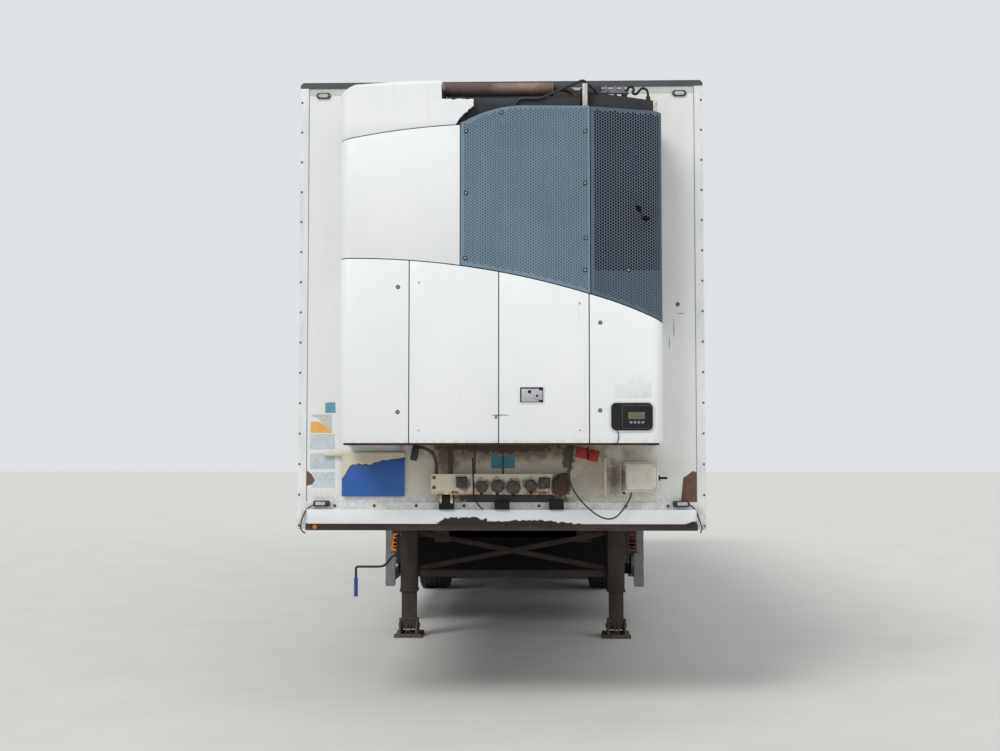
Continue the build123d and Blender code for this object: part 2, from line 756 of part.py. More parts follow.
with BuildPart() as unit_side_panels:
    unit_shell(unit_bottom, door_crest)
    extrude(under_seam(unit_left - 1, unit_right + 1, unit_bottom - 1, panel_gap), amount=unit_depth + 1,
            mode=Mode.INTERSECT)
    block(door_seam_left - panel_gap / 2, door_seam_right + panel_gap / 2, unit_face - 1,
          unit_face + panel_thickness + 1, unit_bottom - 1, door_crest + 1, mode=Mode.SUBTRACT)
save(unit_side_panels, "unit_side_panels")

with BuildPart() as unit_upper_panel:
    unit_shell(unit_bottom + 888, unit_top - 195)
    with BuildSketch(Plane.XZ.offset(-front_y)):
        with BuildLine():
            a, b, c, d, e = low_seam
            f, g, h = seam(high_seam, panel_gap)
            ThreePointArc(a, b, c)
            Polyline(c, (c[0], h[1]), h)
            ThreePointArc(h, g, f)
            Line(f, a)
        make_face()
        with Locations(((unit_left + grille_left) / 2 - 5, unit_middle)):
            Rectangle(grille_left - unit_left + 4, unit_top - unit_bottom, mode=Mode.INTERSECT)
    extrude(amount=unit_depth + 1, mode=Mode.INTERSECT)
save(unit_upper_panel, "unit_upper_panel")

grille_top = [
    # x, depth under the unit's top
    (x, unit_top - depth)
    for x, depth in ((-222, 271), (8, 183), (193, 168), (553, 173))
]
with BuildPart() as unit_grilles:
    unit_shell(unit_bottom + 688, unit_top - 45, grille_recess)
    with BuildSketch(Plane.XZ.offset(-front_y)):
        with BuildLine():
            a, b, c, d, e = low_seam
            ThreePointArc(a, b, c)
            ThreePointArc(c, d, e)
            Line(e, (e[0], unit_top - 216))
            Polyline((e[0], unit_top - 216), (grille_seam + 2, unit_top - 177), grille_top[3], grille_top[2])
            ThreePointArc(grille_top[2], grille_top[1], grille_top[0])
            Line(grille_top[0], (a[0], grille_top[0][1]))
            Line((a[0], grille_top[0][1]), a)
        make_face()
        with Locations(((grille_left + e[0]) / 2, unit_middle)):
            Rectangle(e[0] - grille_left, unit_top - unit_bottom, mode=Mode.INTERSECT)
    extrude(amount=unit_depth + 1, mode=Mode.INTERSECT)
    block(grille_seam - 2, grille_seam + 2, unit_face - 1, unit_face + panel_thickness + 1, unit_bottom,
          unit_top, mode=Mode.SUBTRACT)
save(unit_grilles, "unit_grilles")

with BuildPart() as unit_fairing:
    fairing_low = unit_top - 445
    with BuildSketch(Plane.XY.offset(fairing_low)) as plan:
        with Locations(((unit_left + unit_right) / 2, (unit_face + front_y) / 2)):
            Rectangle(unit_right - unit_left, unit_depth)
        fillet(plan.vertices().group_by(Axis.Y)[0], unit_corner)
    extrude(amount=unit_top - fairing_low)
    chamfer(unit_fairing.edges().group_by(Axis.Z)[-1].group_by(Axis.Y)[0], 26)
    with BuildSketch(Plane.XY.offset(fairing_low)) as hollow:
        with Locations(((unit_left + unit_right) / 2, (unit_face + panel_thickness + front_y) / 2)):
            Rectangle(unit_right - unit_left - 2 * panel_thickness, unit_depth - panel_thickness)
        fillet(hollow.vertices().group_by(Axis.Y)[0], unit_corner - panel_thickness)
    extrude(amount=unit_top - panel_thickness - fairing_low, mode=Mode.SUBTRACT)
    with BuildSketch(Plane.XZ.offset(-front_y)):
        with BuildLine():
            f, g, h = high_seam
            ThreePointArc(f, g, h)
            broken_edge = [
                # x, depth under the unit's top
                (x, unit_top - depth)
                for x, depth in ((-240, 245), (-195, 200), (-154, 164), (-154, 126), (-350, 123), (-350, -5),
                                 (-880, -5), (-1010, 95))
            ]
            Polyline(h, *broken_edge, f)
        make_face()
    extrude(amount=unit_depth + 1, mode=Mode.INTERSECT)
save(unit_fairing, "unit_fairing")

# Unit frame: base pan, posts and rings of square tube
tube = 40.0
frame_in_left = unit_left + panel_thickness + seat_gap
frame_in_right = unit_right - panel_thickness - seat_gap
frame_face = unit_face + panel_thickness + seat_gap
unit_ring = unit_top - 265
with BuildPart() as unit_frame:
    block(frame_in_left + unit_corner, frame_in_right - unit_corner, frame_face, front_y, unit_bottom - 12,
          unit_bottom + 48)
    block(frame_in_left, frame_in_right, frame_face + unit_corner, front_y, unit_bottom - 12,
          unit_bottom + 48)
    block(frame_in_left + 90, frame_in_right - 90, frame_face + tube, front_y - tube, unit_bottom - 8,
          unit_bottom + 49, mode=Mode.SUBTRACT)
    for x in (frame_in_left + unit_corner, frame_in_right - unit_corner - tube):
        for y in (frame_face, front_y - tube):
            block(x, x + tube, y, y + tube, unit_bottom, unit_ring)
    for z in (unit_ring - tube,):
        for y in (frame_face, front_y - tube):
            block(frame_in_left + unit_corner, frame_in_right - unit_corner, y, y + tube, z, z + tube)
        for x in (frame_in_left + unit_corner, frame_in_right - unit_corner - tube):
            block(x, x + tube, frame_face, front_y, z, z + tube)
save(unit_frame, "unit_frame")

with BuildPart() as unit_engine:
    block(-430, 420, frame_face + 60, front_y - 70, unit_bottom - 8 + seat_gap, unit_bottom + 768)
save(unit_engine, "unit_engine")

# Coils behind the grilles, the fan shroud above them and the radiator with its sloping top
strap_x = (-250.0, 220.0)
strap_width = 30.0
with BuildPart() as unit_coil:
    coil_face = frame_face + tube + seat_gap
    block(-190, 540, coil_face, coil_face + 80, unit_bottom + 1148, unit_ring - 6)
    block(548, 855, coil_face, coil_face + 120, unit_bottom + 1048, unit_ring - 6)
    shroud_low = unit_ring + seat_gap
    shroud_top = unit_top - 112
    block(strap_x[0] + strap_width + 20, 500, frame_face + tube / 2, front_y - 5, shroud_low, shroud_top)
    block(strap_x[1] - 5, strap_x[1] + strap_width + 5, front_y - tube - 5, front_y, shroud_low - 1,
          shroud_top + 1, mode=Mode.SUBTRACT)
    with BuildSketch(Plane.XZ.offset(-unit_face - 300)):
        with BuildLine():
            radiator_end = unit_right - panel_thickness - 2
            Polyline((548, shroud_low), (radiator_end, shroud_low), (radiator_end, unit_top - 124),
                     (548, unit_top - 60), close=True)
        make_face()
    extrude(amount=210)
save(unit_coil, "unit_coil")

# Muffler on two straps, with the bare post left where the fairing has broken away
with BuildPart() as unit_muffler:
    muffler_y = front_y - 200
    muffler_radius = 42.0
    strap = unit_top - 65
    with Locations(Location((-5, muffler_y, unit_top - 2), (0, 90, 0))):
        Cylinder(muffler_radius, 680)
    for x in strap_x:
        block(x, x + strap_width, muffler_y - 10, muffler_y + 10, strap, strap + 25)
        block(x, x + strap_width, muffler_y - 10, front_y - tube + 10, strap - 4, strap)
        block(x, x + strap_width, front_y - tube + 4, front_y - tube + 10, unit_ring + seat_gap, strap)
    block(512, 546, frame_face + 4, frame_face + tube - 4, unit_ring + seat_gap, unit_top - 25)
save(unit_muffler, "unit_muffler")

with BuildPart() as unit_controller:
    with BuildSketch(Plane.XZ.offset(-unit_face + seat_gap)):
        with Locations((804, unit_bottom + 159)):
            RectangleRounded(250, 166, 30)
    extrude(amount=18)
    chamfer(unit_controller.faces().sort_by(Axis.Y)[0].edges(), 6)
save(unit_controller, "unit_controller")

# Evaporator cover inside, under the roof, with a slanting face
with BuildPart() as evaporator:
    back = front_y + bulkhead_thickness
    with BuildSketch(Plane.YZ.offset(-880)):
        with BuildLine():
            Polyline((back, roof_under - seat_gap), (back + 230, roof_under - seat_gap),
                     (back + 230, roof_under - 180), (back + 90, roof_under - 620),
                     (back, roof_under - 620), close=True)
        make_face()
    extrude(amount=1760)
save(evaporator, "evaporator")

# Coupling bracket on the bulkhead with the air and power couplings
bracket_z0, bracket_z1 = 1391.0, 1519.0
bracket_x0, bracket_x1 = -436.0, 443.0
bracket_reach = 110.0
bracket_sheet = 5.0
with BuildPart() as coupling_bracket:
    block(bracket_x0, bracket_x1, front_y - bracket_reach, front_y - bracket_reach + bracket_sheet,
          bracket_z0, bracket_z1)
    block(bracket_x0, bracket_x1, front_y - bracket_reach, front_y, bracket_z1 - bracket_sheet, bracket_z1)
    for x in (bracket_x0, bracket_x1 - bracket_sheet):
        block(x, x + bracket_sheet, front_y - bracket_reach, front_y, bracket_z0, bracket_z1)
save(coupling_bracket, "coupling_bracket")

coupling_table = [
    # x, z, radius, length, shape
    (-243.0, 1468.0, 34.0, 42.0, "box"),
    (-118.0, 1439.0, 38.0, 56.0, "round"),
    (-17.0, 1442.0, 42.0, 60.0, "round"),
    (83.0, 1435.0, 44.0, 60.0, "round"),
    (191.0, 1447.0, 39.0, 56.0, "round"),
    (278.0, 1463.0, 34.0, 42.0, "box"),
]
with BuildPart() as couplings:
    bracket_face = front_y - bracket_reach - seat_gap
    for x, z, radius, length, shape in coupling_table:
        with BuildSketch(Plane.XZ.offset(-bracket_face)):
            with Locations((x, z)):
                if shape == "round":
                    Circle(radius)
                else:
                    Rectangle(2 * radius, 2 * radius)
        extrude(amount=length)
save(couplings, "couplings")

junction_bottom = 1406.0
with BuildPart() as junction_box:
    block(768, 991, front_y - 118, front_y, junction_bottom, 1598)
    fillet(junction_box.edges().filter_by(Axis.Y), 10)
save(junction_box, "junction_box")

# Fixed pipes and rods under the unit
line_table = [
    # x, y in front of the bulkhead, lower end, radius
    (-314.0, 90.0, bracket_z1, 15.0),
    (-164.0, 60.0, bracket_z1, 6.0),
    (15.0, 60.0, bracket_z1, 6.0),
]
with BuildPart() as front_lines:
    for x, y, low, radius in line_table:
        top = unit_bottom - 12 - seat_gap
        with BuildSketch(Plane.XY.offset(low + seat_gap)):
            with Locations((x, front_y - y)):
                RegularPolygon(radius, 12 if radius > 10 else 6)
        extrude(amount=top - low - seat_gap)
save(front_lines, "front_lines")

# Free cable that hangs in a loop from the unit to the junction box
cable_radius = 5.0
cable_route = [
    (457, -160, unit_bottom - 12 - seat_gap),
    (457, -160, 1662),
    (414, -147, 1436),
    (676, -136, 1190),
    (822, -96, 1358),
    (822, -96, junction_bottom - seat_gap),
]
cable_points = [Vector(x, front_y + y, z) for x, y, z in cable_route]
cable_bends = []
for before, here, after in zip(cable_points, cable_points[1:], cable_points[2:]):
    turn = math.radians((here - before).get_angle(after - here))
    run = min((here - before).length, (after - here).length)
    cable_bends.append(0.45 * run / math.tan(turn / 2))
print("cable radii", [round(r) for r in cable_bends])
with BuildPart() as cable_loop:
    with BuildLine() as cable_path:
        FilletPolyline(*cable_points, radius=cable_bends)
    with BuildSketch(Plane(origin=cable_path.line @ 0, z_dir=cable_path.line % 0)):
        Circle(cable_radius)
    sweep()
print("cable length", round(cable_path.wires()[0].length))
save(cable_loop, "cable_loop")
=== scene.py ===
import bmesh
import bpy
import json
import math
from mathutils import Matrix, Vector, noise


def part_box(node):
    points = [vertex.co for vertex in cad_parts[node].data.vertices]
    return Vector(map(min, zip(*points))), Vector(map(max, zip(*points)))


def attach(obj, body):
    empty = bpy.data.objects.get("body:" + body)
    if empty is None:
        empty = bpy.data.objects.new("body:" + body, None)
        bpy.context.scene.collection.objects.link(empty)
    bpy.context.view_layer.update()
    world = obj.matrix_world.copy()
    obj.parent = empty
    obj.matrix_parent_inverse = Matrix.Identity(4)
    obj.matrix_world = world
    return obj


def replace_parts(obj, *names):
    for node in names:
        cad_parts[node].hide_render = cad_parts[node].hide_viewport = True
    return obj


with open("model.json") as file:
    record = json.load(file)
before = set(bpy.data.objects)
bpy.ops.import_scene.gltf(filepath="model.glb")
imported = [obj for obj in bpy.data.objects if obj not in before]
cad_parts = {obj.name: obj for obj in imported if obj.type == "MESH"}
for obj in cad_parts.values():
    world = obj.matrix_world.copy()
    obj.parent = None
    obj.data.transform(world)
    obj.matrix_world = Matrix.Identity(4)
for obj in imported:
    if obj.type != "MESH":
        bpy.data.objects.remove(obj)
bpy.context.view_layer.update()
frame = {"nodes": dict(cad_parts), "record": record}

# Studio: a pale floor under soft light. The camera stands in front of the nose, a little to the right,
# at eye height, where the photograph was taken.
camera_data = bpy.data.cameras.new("camera")
camera_data.lens = 48.43
camera = bpy.data.objects.new("camera", camera_data)
camera.location = (0.249, -15.154, 1.668)
camera.rotation_euler = (math.radians(93.184), 0.0, math.radians(1.696))
bpy.context.scene.collection.objects.link(camera)
bpy.context.scene.camera = camera
bpy.context.scene.view_settings.view_transform = "Standard"


def linear(colour):
    """The linear colour of an sRGB hex value."""
    shares = [int(colour[i:i + 2], 16) / 255 for i in (0, 2, 4)]
    return (*[s / 12.92 if s <= 0.04045 else ((s + 0.055) / 1.055) ** 2.4 for s in shares], 1.0)


def add(tree, kind, settings=None, links=None):
    """Adds a node; each input gets a value, or a link from another node's output."""
    node = tree.nodes.new(kind)
    for key, value in (settings or {}).items():
        setattr(node, key, value)
    for key, value in (links or {}).items():
        if isinstance(value, bpy.types.NodeSocket):
            tree.links.new(value, node.inputs[key])
        else:
            node.inputs[key].default_value = value
    return node


def finish(name, colour, roughness, *layers, metallic=0.0, specular=0.5, bump=None):
    """A new finish: its material, node tree and shader, and its colour so far under layers of spots."""
    material = bpy.data.materials.new(name)
    material.use_nodes = True
    tree = material.node_tree
    shader = tree.nodes["Principled BSDF"]
    shader.inputs["Base Color"].default_value = linear(colour)
    shader.inputs["Roughness"].default_value = roughness
    shader.inputs["Metallic"].default_value = metallic
    shader.inputs["Specular IOR Level"].default_value = specular
    place = add(tree, "ShaderNodeTexCoord").outputs["Object"]
    coat = {"material": material, "tree": tree, "shader": shader, "place": place, "colour": linear(colour)}
    spots(coat, *layers)
    if bump:
        relief(coat, *bump)
    return coat


def mottling(coat, size, low, high, stretch=(1, 1, 1)):
    """Cloudy spots about size millimetres across, from 0 below low to 1 above high."""
    tree = coat["tree"]
    place = add(tree, "ShaderNodeVectorMath", {"operation": "MULTIPLY"},
        {0: coat["place"], 1: stretch}).outputs[0]
    cloud = add(tree, "ShaderNodeTexNoise", {}, {"Vector": place, "Scale": 1000 / size, "Detail": 6.0,
        "Roughness": 0.62})
    return add(tree, "ShaderNodeMapRange", {}, {"Value": cloud.outputs[0], "From Min": low,
        "From Max": high}).outputs[0]


def tint(coat, mask, colour, share):
    """Lays another colour over the finish where the mask is, at most to that share."""
    tree = coat["tree"]
    part = add(tree, "ShaderNodeMath", {"operation": "MULTIPLY"}, {0: mask, 1: share}).outputs[0]
    mixed = add(tree, "ShaderNodeMix", {"data_type": "RGBA"}, {0: part, 6: coat["colour"], 7: linear(colour)})
    coat["colour"] = mixed.outputs[2]
    tree.links.new(coat["colour"], coat["shader"].inputs["Base Color"])


def spots(coat, *layers):
    """Layers of cloudy spots, each with its size, mask from and to, colour, share and stretch."""
    for size, low, high, colour, share, *stretch in layers:
        tint(coat, mottling(coat, size, low, high, *stretch), colour, share)


def relief(coat, size, depth):
    """Bump of a size and depth in millimetres."""
    tree = coat["tree"]
    bump = add(tree, "ShaderNodeBump", {}, {"Height": mottling(coat, size, 0.3, 0.7),
        "Distance": depth / 1000, "Strength": 1.0})
    tree.links.new(bump.outputs[0], coat["shader"].inputs["Normal"])


# concrete-grey studio floor, nearly plain
studio_floor = finish("studio_floor_matt", "d3d2ce", 0.9, (900, 0.4, 0.7, "cbcac6", 0.6))
floor_mesh = bpy.data.meshes.new("studio_floor")
floor_mesh.from_pydata([(-90, -90, 0), (90, -90, 0), (90, 90, 0), (-90, 90, 0)], [], [(0, 1, 2, 3)])
floor_mesh.materials.append(studio_floor["material"])
floor_object = bpy.data.objects.new("studio_floor", floor_mesh)
bpy.context.scene.collection.objects.link(floor_object)

world = bpy.data.worlds.new("studio")
bpy.context.scene.world = world
world.use_nodes = True
sky = world.node_tree
seen = add(sky, "ShaderNodeLightPath")
either = add(sky, "ShaderNodeMath", {"operation": "MAXIMUM"}, {0: seen.outputs["Is Camera Ray"],
    1: seen.outputs["Is Glossy Ray"]})
direct = add(sky, "ShaderNodeMath", {"operation": "MAXIMUM"}, {0: either.outputs[0],
    1: seen.outputs["Is Transmission Ray"]})
dome = add(sky, "ShaderNodeBackground", {}, {"Color": linear("f2f4f6"), "Strength": 0.62})
backdrop = add(sky, "ShaderNodeBackground", {}, {"Color": linear("dfe2e4"), "Strength": 1.0})
both = add(sky, "ShaderNodeMixShader", {}, {0: direct.outputs[0], 1: dome.outputs[0], 2: backdrop.outputs[0]})
sky.links.new(both.outputs[0], sky.nodes["World Output"].inputs["Surface"])

for lamp_name, energy, soft, turn in (("key_light", 1.72, 24, (46, 0, -34)),
        ("fill_light", 0.7, 60, (62, 0, 48))):
    lamp = bpy.data.lights.new(lamp_name, "SUN")
    lamp.energy = energy
    lamp.angle = math.radians(soft)
    lamp_object = bpy.data.objects.new(lamp_name, lamp)
    lamp_object.rotation_euler = [math.radians(a) for a in turn]
    bpy.context.scene.collection.objects.link(lamp_object)

# Free cable from the cooling unit's base to the junction box: a ten-millimetre black rubber sheath that
# hangs in one loop in front of the bumper, held at both ends.
cable_rubber = finish("cable_rubber_dusty", "26231f", 0.62, (14, 0.45, 0.7, "4a4138", 0.7))
cable_route = [
    # x, y, z in metres, as the solid's route
    (0.457, -6.73, 1.6997),
    (0.457, -6.73, 1.662),
    (0.414, -6.717, 1.436),
    (0.676, -6.706, 1.19),
    (0.822, -6.666, 1.358),
    (0.822, -6.666, 1.4057),
]


def smooth_line(name, points, radius, sides, steps):
    """A round curve object whose line runs smoothly past its points."""
    curve = bpy.data.curves.new(name, "CURVE")
    curve.dimensions = "3D"
    curve.bevel_depth = radius
    curve.bevel_resolution = sides
    curve.use_fill_caps = True
    line = curve.splines.new("NURBS")
    line.points.add(len(points) - 1)
    for point, where in zip(line.points, points):
        point.co = (*where, 1.0)
    line.order_u = 3
    line.use_endpoint_u = True
    line.resolution_u = steps
    drawn = bpy.data.objects.new(name, curve)
    bpy.context.scene.collection.objects.link(drawn)
    return drawn


free_cable = smooth_line("free_cable", cable_route, 0.005, 3, 24)
free_cable.data.materials.append(cable_rubber["material"])
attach(free_cable, "trailer")
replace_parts(free_cable, "cable_loop")

# Sandwich panels of the box: foam between two white polyester-coated sheets, glued into the frame of
# extrusions. Rain has washed grey streaks down them, and road dirt sticks low down.
nose_y = -6.57
box_white = finish("coated_sheet_white", "e3e5e3", 0.42, (420, 0.42, 0.72, "d2d4d1", 0.55, (1, 1, 0.35)),
    (60, 0.6, 0.78, "b9b9b3", 0.28, (1, 1, 0.12)), (9, 0.66, 0.74, "a39f96", 0.35))


def height_mask(coat, low, high):
    """From 1 at the height low to 0 at the height high, in metres."""
    tree = coat["tree"]
    level = add(tree, "ShaderNodeSeparateXYZ", {}, {0: coat["place"]}).outputs["Z"]
    return add(tree, "ShaderNodeMapRange", {}, {"Value": level, "From Min": high, "From Max": low}).outputs[0]


def both_of(coat, one, other):
    """Where two masks meet."""
    return add(coat["tree"], "ShaderNodeMath", {"operation": "MULTIPLY"}, {0: one, 1: other}).outputs[0]


def low_dirt(coat, low, high, size, start, end, colour, share, *stretch):
    """Spots that are thickest below the height low and end at the height high."""
    tint(coat, both_of(coat, height_mask(coat, low, high), mottling(coat, size, start, end, *stretch)),
        colour, share)


low_dirt(box_white, 1.25, 1.75, 130, 0.35, 0.65, "a79f8f", 0.55)
relief(box_white, 700, 2.0)
roof_white = finish("coated_sheet_roof_dusty", "c3c5c2", 0.55, (900, 0.4, 0.66, "aeb0ab", 0.7, (1, 0.3, 1)),
    (60, 0.58, 0.76, "94928a", 0.5), bump=(700, 2.0))


def dress(coat, *nodes):
    """Gives CAD pieces whose shape is right their finish."""
    for node in nodes:
        materials = frame["nodes"][node].data.materials
        materials.clear()
        materials.append(coat["material"])


dress(box_white, "wall_left", "wall_right")
dress(roof_white, "roof")


def patch(coat, centre, reach, ragged, soft, size):
    """A blot round a centre, with a ragged edge whose teeth are about size millimetres."""
    tree = coat["tree"]
    away = add(tree, "ShaderNodeVectorMath", {"operation": "SUBTRACT"},
        {0: coat["place"], 1: centre}).outputs[0]
    inverse = [1 / r for r in reach]
    scaled = add(tree, "ShaderNodeVectorMath", {"operation": "MULTIPLY"}, {0: away, 1: inverse}).outputs[0]
    radius = add(tree, "ShaderNodeVectorMath", {"operation": "LENGTH"}, {0: scaled}).outputs["Value"]
    cloud = add(tree, "ShaderNodeTexNoise", {}, {"Vector": coat["place"], "Scale": 1000 / size, "Detail": 5})
    torn = add(tree, "ShaderNodeMath", {"operation": "MULTIPLY_ADD"},
        {0: cloud.outputs[0], 1: ragged, 2: radius})
    edge = 1 + ragged / 2
    return add(tree, "ShaderNodeMapRange", {}, {"Value": torn.outputs[0], "From Min": edge,
        "From Max": edge - soft}).outputs[0]


def blot(coat, centre, reach, ragged, soft, size, colour, share):
    """Lays a colour over one ragged patch."""
    tint(coat, patch(coat, centre, reach, ragged, soft, size), colour, share)


# the bulkhead's own finish: under the unit it has yellowed and is spattered with rusty grease; the dark brown
# bands just below the unit's base are partly that grease and partly painted shade under the overhang
nose_white = finish("coated_sheet_nose", "dfe1de", 0.45, (380, 0.42, 0.72, "d0d2ce", 0.5, (1, 1, 0.4)),
    (12, 0.64, 0.74, "aaa79f", 0.3))
blot(nose_white, (0.15, nose_y, 1.54), (1.05, 0.4, 0.26), 0.5, 0.5, 160, "c6bca6", 0.85)
blot(nose_white, (0.05, nose_y, 1.68), (0.78, 0.4, 0.1), 1.4, 0.6, 70, "6a4d3b", 0.85)
blot(nose_white, (0.0, nose_y, 1.695), (0.42, 0.4, 0.05), 1.6, 0.25, 34, "33211a", 0.85)
blot(nose_white, (0.43, nose_y, 1.625), (0.045, 0.4, 0.11), 1.6, 0.4, 26, "22150f", 0.85)
tint(nose_white, both_of(nose_white, patch(nose_white, (0.1, nose_y, 1.6), (0.8, 0.4, 0.16), 0.6, 0.6, 90),
    mottling(nose_white, 9, 0.58, 0.66, (1, 1, 0.7))), "4a3427", 0.7)
blot(nose_white, (-0.34, nose_y, 1.62), (0.1, 0.4, 0.12), 1.3, 0.5, 40, "5d4536", 0.8)
blot(nose_white, (0.6, nose_y, 1.5), (0.16, 0.4, 0.2), 1.5, 0.7, 45, "8d7c66", 0.55)
blot(nose_white, (0.72, nose_y, 1.5), (0.05, 0.4, 0.14), 1.2, 0.6, 30, "4d3a2e", 0.75)
spots(nose_white, (7, 0.7, 0.76, "5b4636", 0.35, (1, 1, 0.6)))
# small black spot at a little hole: painted shade in the hole
blot(nose_white, (1.13, nose_y, 2.6), (0.016, 0.1, 0.016), 0.8, 0.3, 12, "25221f", 0.9)
for centre, reach in (((1.105, nose_y, 2.44), (0.004, 0.1, 0.07)),
        ((1.075, nose_y, 2.35), (0.0035, 0.1, 0.055)), ((1.15, nose_y, 2.54), (0.03, 0.1, 0.004))):
    blot(nose_white, centre, reach, 1.0, 0.5, 26, "4a4a46", 0.7)
low_dirt(nose_white, 1.3, 1.44, 30, 0.4, 0.62, "8f8778", 0.6)
# near-black band low on the bulkhead behind the coupling bracket and rubber blocks: painted shade
blot(nose_white, (0.05, nose_y, 1.36), (0.45, 0.4, 0.06), 0.8, 0.35, 40, "1e130e", 0.95)
relief(nose_white, 600, 2.0)
dress(nose_white, "bulkhead")

# Labels on the bulkhead: vinyl film stuck to the coated sheet, sun-bleached and left blank. One has
# lost its upper right half, and low on both sides the sheet's coating is torn to the core.

# each form is laid on one bench, and what lies there is taken off as one piece
bench = bmesh.new()


def made(name, coat, body="trailer", smooth=35):
    """Takes all that lies on the bench as one finished piece that rides on its body."""
    bmesh.ops.recalc_face_normals(bench, faces=bench.faces)
    mesh = bpy.data.meshes.new(name)
    bench.to_mesh(mesh)
    bench.clear()
    mesh.materials.append(coat["material"])
    mesh.shade_smooth()
    mesh.set_sharp_from_angle(angle=math.radians(smooth))
    piece = bpy.data.objects.new(name, mesh)
    bpy.context.scene.collection.objects.link(piece)
    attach(piece, body)
    return piece


def skinned(loops, closed=True):
    """Joins each loop of corners on the bench to the next one, and the last to the first."""
    for one, other in zip(loops, loops[1:] + loops[:1] if closed else loops[1:]):
        for i in range(len(one)):
            after = (i + 1) % len(one)
            bench.faces.new((one[i], one[after], other[after], other[i]))


def sheet(outline, back, front):
    """Lays a plate with an outline seen from the front on the bench, between two depths."""
    low = [bench.verts.new((x, back, z)) for x, z in outline]
    high = [bench.verts.new((x, front, z)) for x, z in outline]
    bench.faces.new(low)
    bench.faces.new(high[::-1])
    skinned([low, high], closed=False)


label_table = [
    # name, colour, corners x and z in metres
    ("label_inspection_upper", "c4ccd0", (-1.224, -1.061, 1.674, 1.773)),
    ("label_inspection_middle", "bcc6cb", (-1.221, -1.06, 1.548, 1.651)),
    ("label_inspection_lower", "c2cdd2", (-1.211, -1.059, 1.429, 1.531)),
    ("label_small_blue", "5f93ab", (-1.126, -1.059, 1.907, 1.976)),
    ("label_turquoise", "2f87a0", (-0.062, 0.091, 1.553, 1.633)),
    ("label_grey", "b1aea8", (0.45, 0.555, 1.348, 1.496)),
]
for name, colour, (x0, x1, z0, z1) in label_table:
    vinyl = finish(f"vinyl_{name}", colour, 0.5, (22, 0.45, 0.7, "8f8f88", 0.4),
        (6, 0.62, 0.72, "6e5a4a", 0.35))
    sheet([(x0, z0), (x1, z0 + 0.001), (x1 - 0.002, z1), (x0 + 0.001, z1 - 0.002)], nose_y + 0.0003,
        nose_y - 0.0006)
    made(name, vinyl)

# the torn orange label: its upper right half has gone and leaves pale glue
torn_orange = finish("vinyl_orange_faded", "e3ae5e", 0.5, (40, 0.4, 0.7, "d49846", 0.6, (1, 1, 0.3)))
sheet([(-1.219, 1.78), (-1.082, 1.78), (-1.082, 1.792), (-1.105, 1.8), (-1.128, 1.826), (-1.15, 1.838),
    (-1.16, 1.85), (-1.205, 1.852), (-1.219, 1.848)], nose_y + 0.0003, nose_y - 0.0006)
made("label_orange_torn", torn_orange)
glue = finish("label_glue_grey", "b9b4aa", 0.7, (18, 0.4, 0.6, "cfccc4", 0.8))
sheet([(-1.15, 1.84), (-1.128, 1.828), (-1.105, 1.802), (-1.082, 1.794), (-1.084, 1.899), (-1.215, 1.897),
    (-1.219, 1.885), (-1.19, 1.88), (-1.16, 1.866)], nose_y + 0.0003, nose_y - 0.0005)
made("label_glue_mark", glue)

# bare plywood-brown tears in the coating at both lower corners of the bulkhead
bare_core = finish("torn_coating_brown", "6d5347", 0.85, (16, 0.4, 0.65, "54403a", 0.8))
tears = {
    # outline, x and z in metres
    "torn_coating_left": [(-1.245, 1.44), (-1.205, 1.452), (-1.188, 1.478), (-1.214, 1.52), (-1.245, 1.542)],
    "torn_coating_right": [(1.142, 1.342), (1.245, 1.342), (1.245, 1.532), (1.214, 1.536), (1.186, 1.512),
        (1.158, 1.496), (1.15, 1.43)],
}
for name, outline in tears.items():
    sheet(outline, nose_y + 0.0003, nose_y - 0.0008)
    made(name, bare_core)

# Corner posts and roof rails: extruded aluminium, white anodised, with a blind rivet every 195 mm near
# the outer edge. A black rubber-edged cap closes the roof's front.
rail_metal = finish("aluminium_extrusion_weathered", "dfe1e0", 0.4,
    (90, 0.45, 0.7, "c2c5c6", 0.6, (1, 1, 0.2)), (8, 0.62, 0.74, "8f8d88", 0.5, (1, 1, 0.3)), metallic=0.08)
low_dirt(rail_metal, 1.15, 1.45, 50, 0.4, 0.62, "86796a", 0.7)
dress(rail_metal, "edge_extrusions")
cap_grey = finish("roof_cap_enamel_grey", "3c4046", 0.5, (35, 0.42, 0.7, "53565c", 0.6, (0.2, 1, 1)))
dress(cap_grey, "roof_cap")


def grown(name, places, tree, sizes, slot, body="trailer", **marks):
    """Grows a piece from start points by a node tree with named sizes, as one plain mesh."""
    start = bpy.data.meshes.new(name)
    start.from_pydata(places, [], [])
    for mark, numbers in marks.items():
        kind = "INT" if isinstance(numbers[0], int) else "FLOAT"
        start.attributes.new(mark, kind, "POINT").data.foreach_set("value", numbers)
    piece = bpy.data.objects.new(name, start)
    bpy.context.scene.collection.objects.link(piece)
    modifier = piece.modifiers.new(name, "NODES")
    modifier.node_group = tree
    for socket in tree.interface.items_tree:
        if socket.in_out == "INPUT" and socket.name in sizes:
            modifier[socket.identifier] = sizes[socket.name]
    shown = piece.evaluated_get(bpy.context.evaluated_depsgraph_get())
    grown_mesh = bpy.data.meshes.new_from_object(shown)
    piece.modifiers.clear()
    piece.data = grown_mesh
    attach(piece, body)
    return piece


def begun(name, kind, *sizes):
    """A new tree of geometry nodes with named sizes, and the node that brings in its start and sizes."""
    tree = bpy.data.node_groups.new(name, "GeometryNodeTree")
    tree.interface.new_socket("Geometry", in_out="INPUT", socket_type="NodeSocketGeometry")
    for size_name in sizes:
        tree.interface.new_socket(size_name, in_out="INPUT", socket_type=kind)
    tree.interface.new_socket("Geometry", in_out="OUTPUT", socket_type="NodeSocketGeometry")
    return tree, add(tree, "NodeGroupInput")


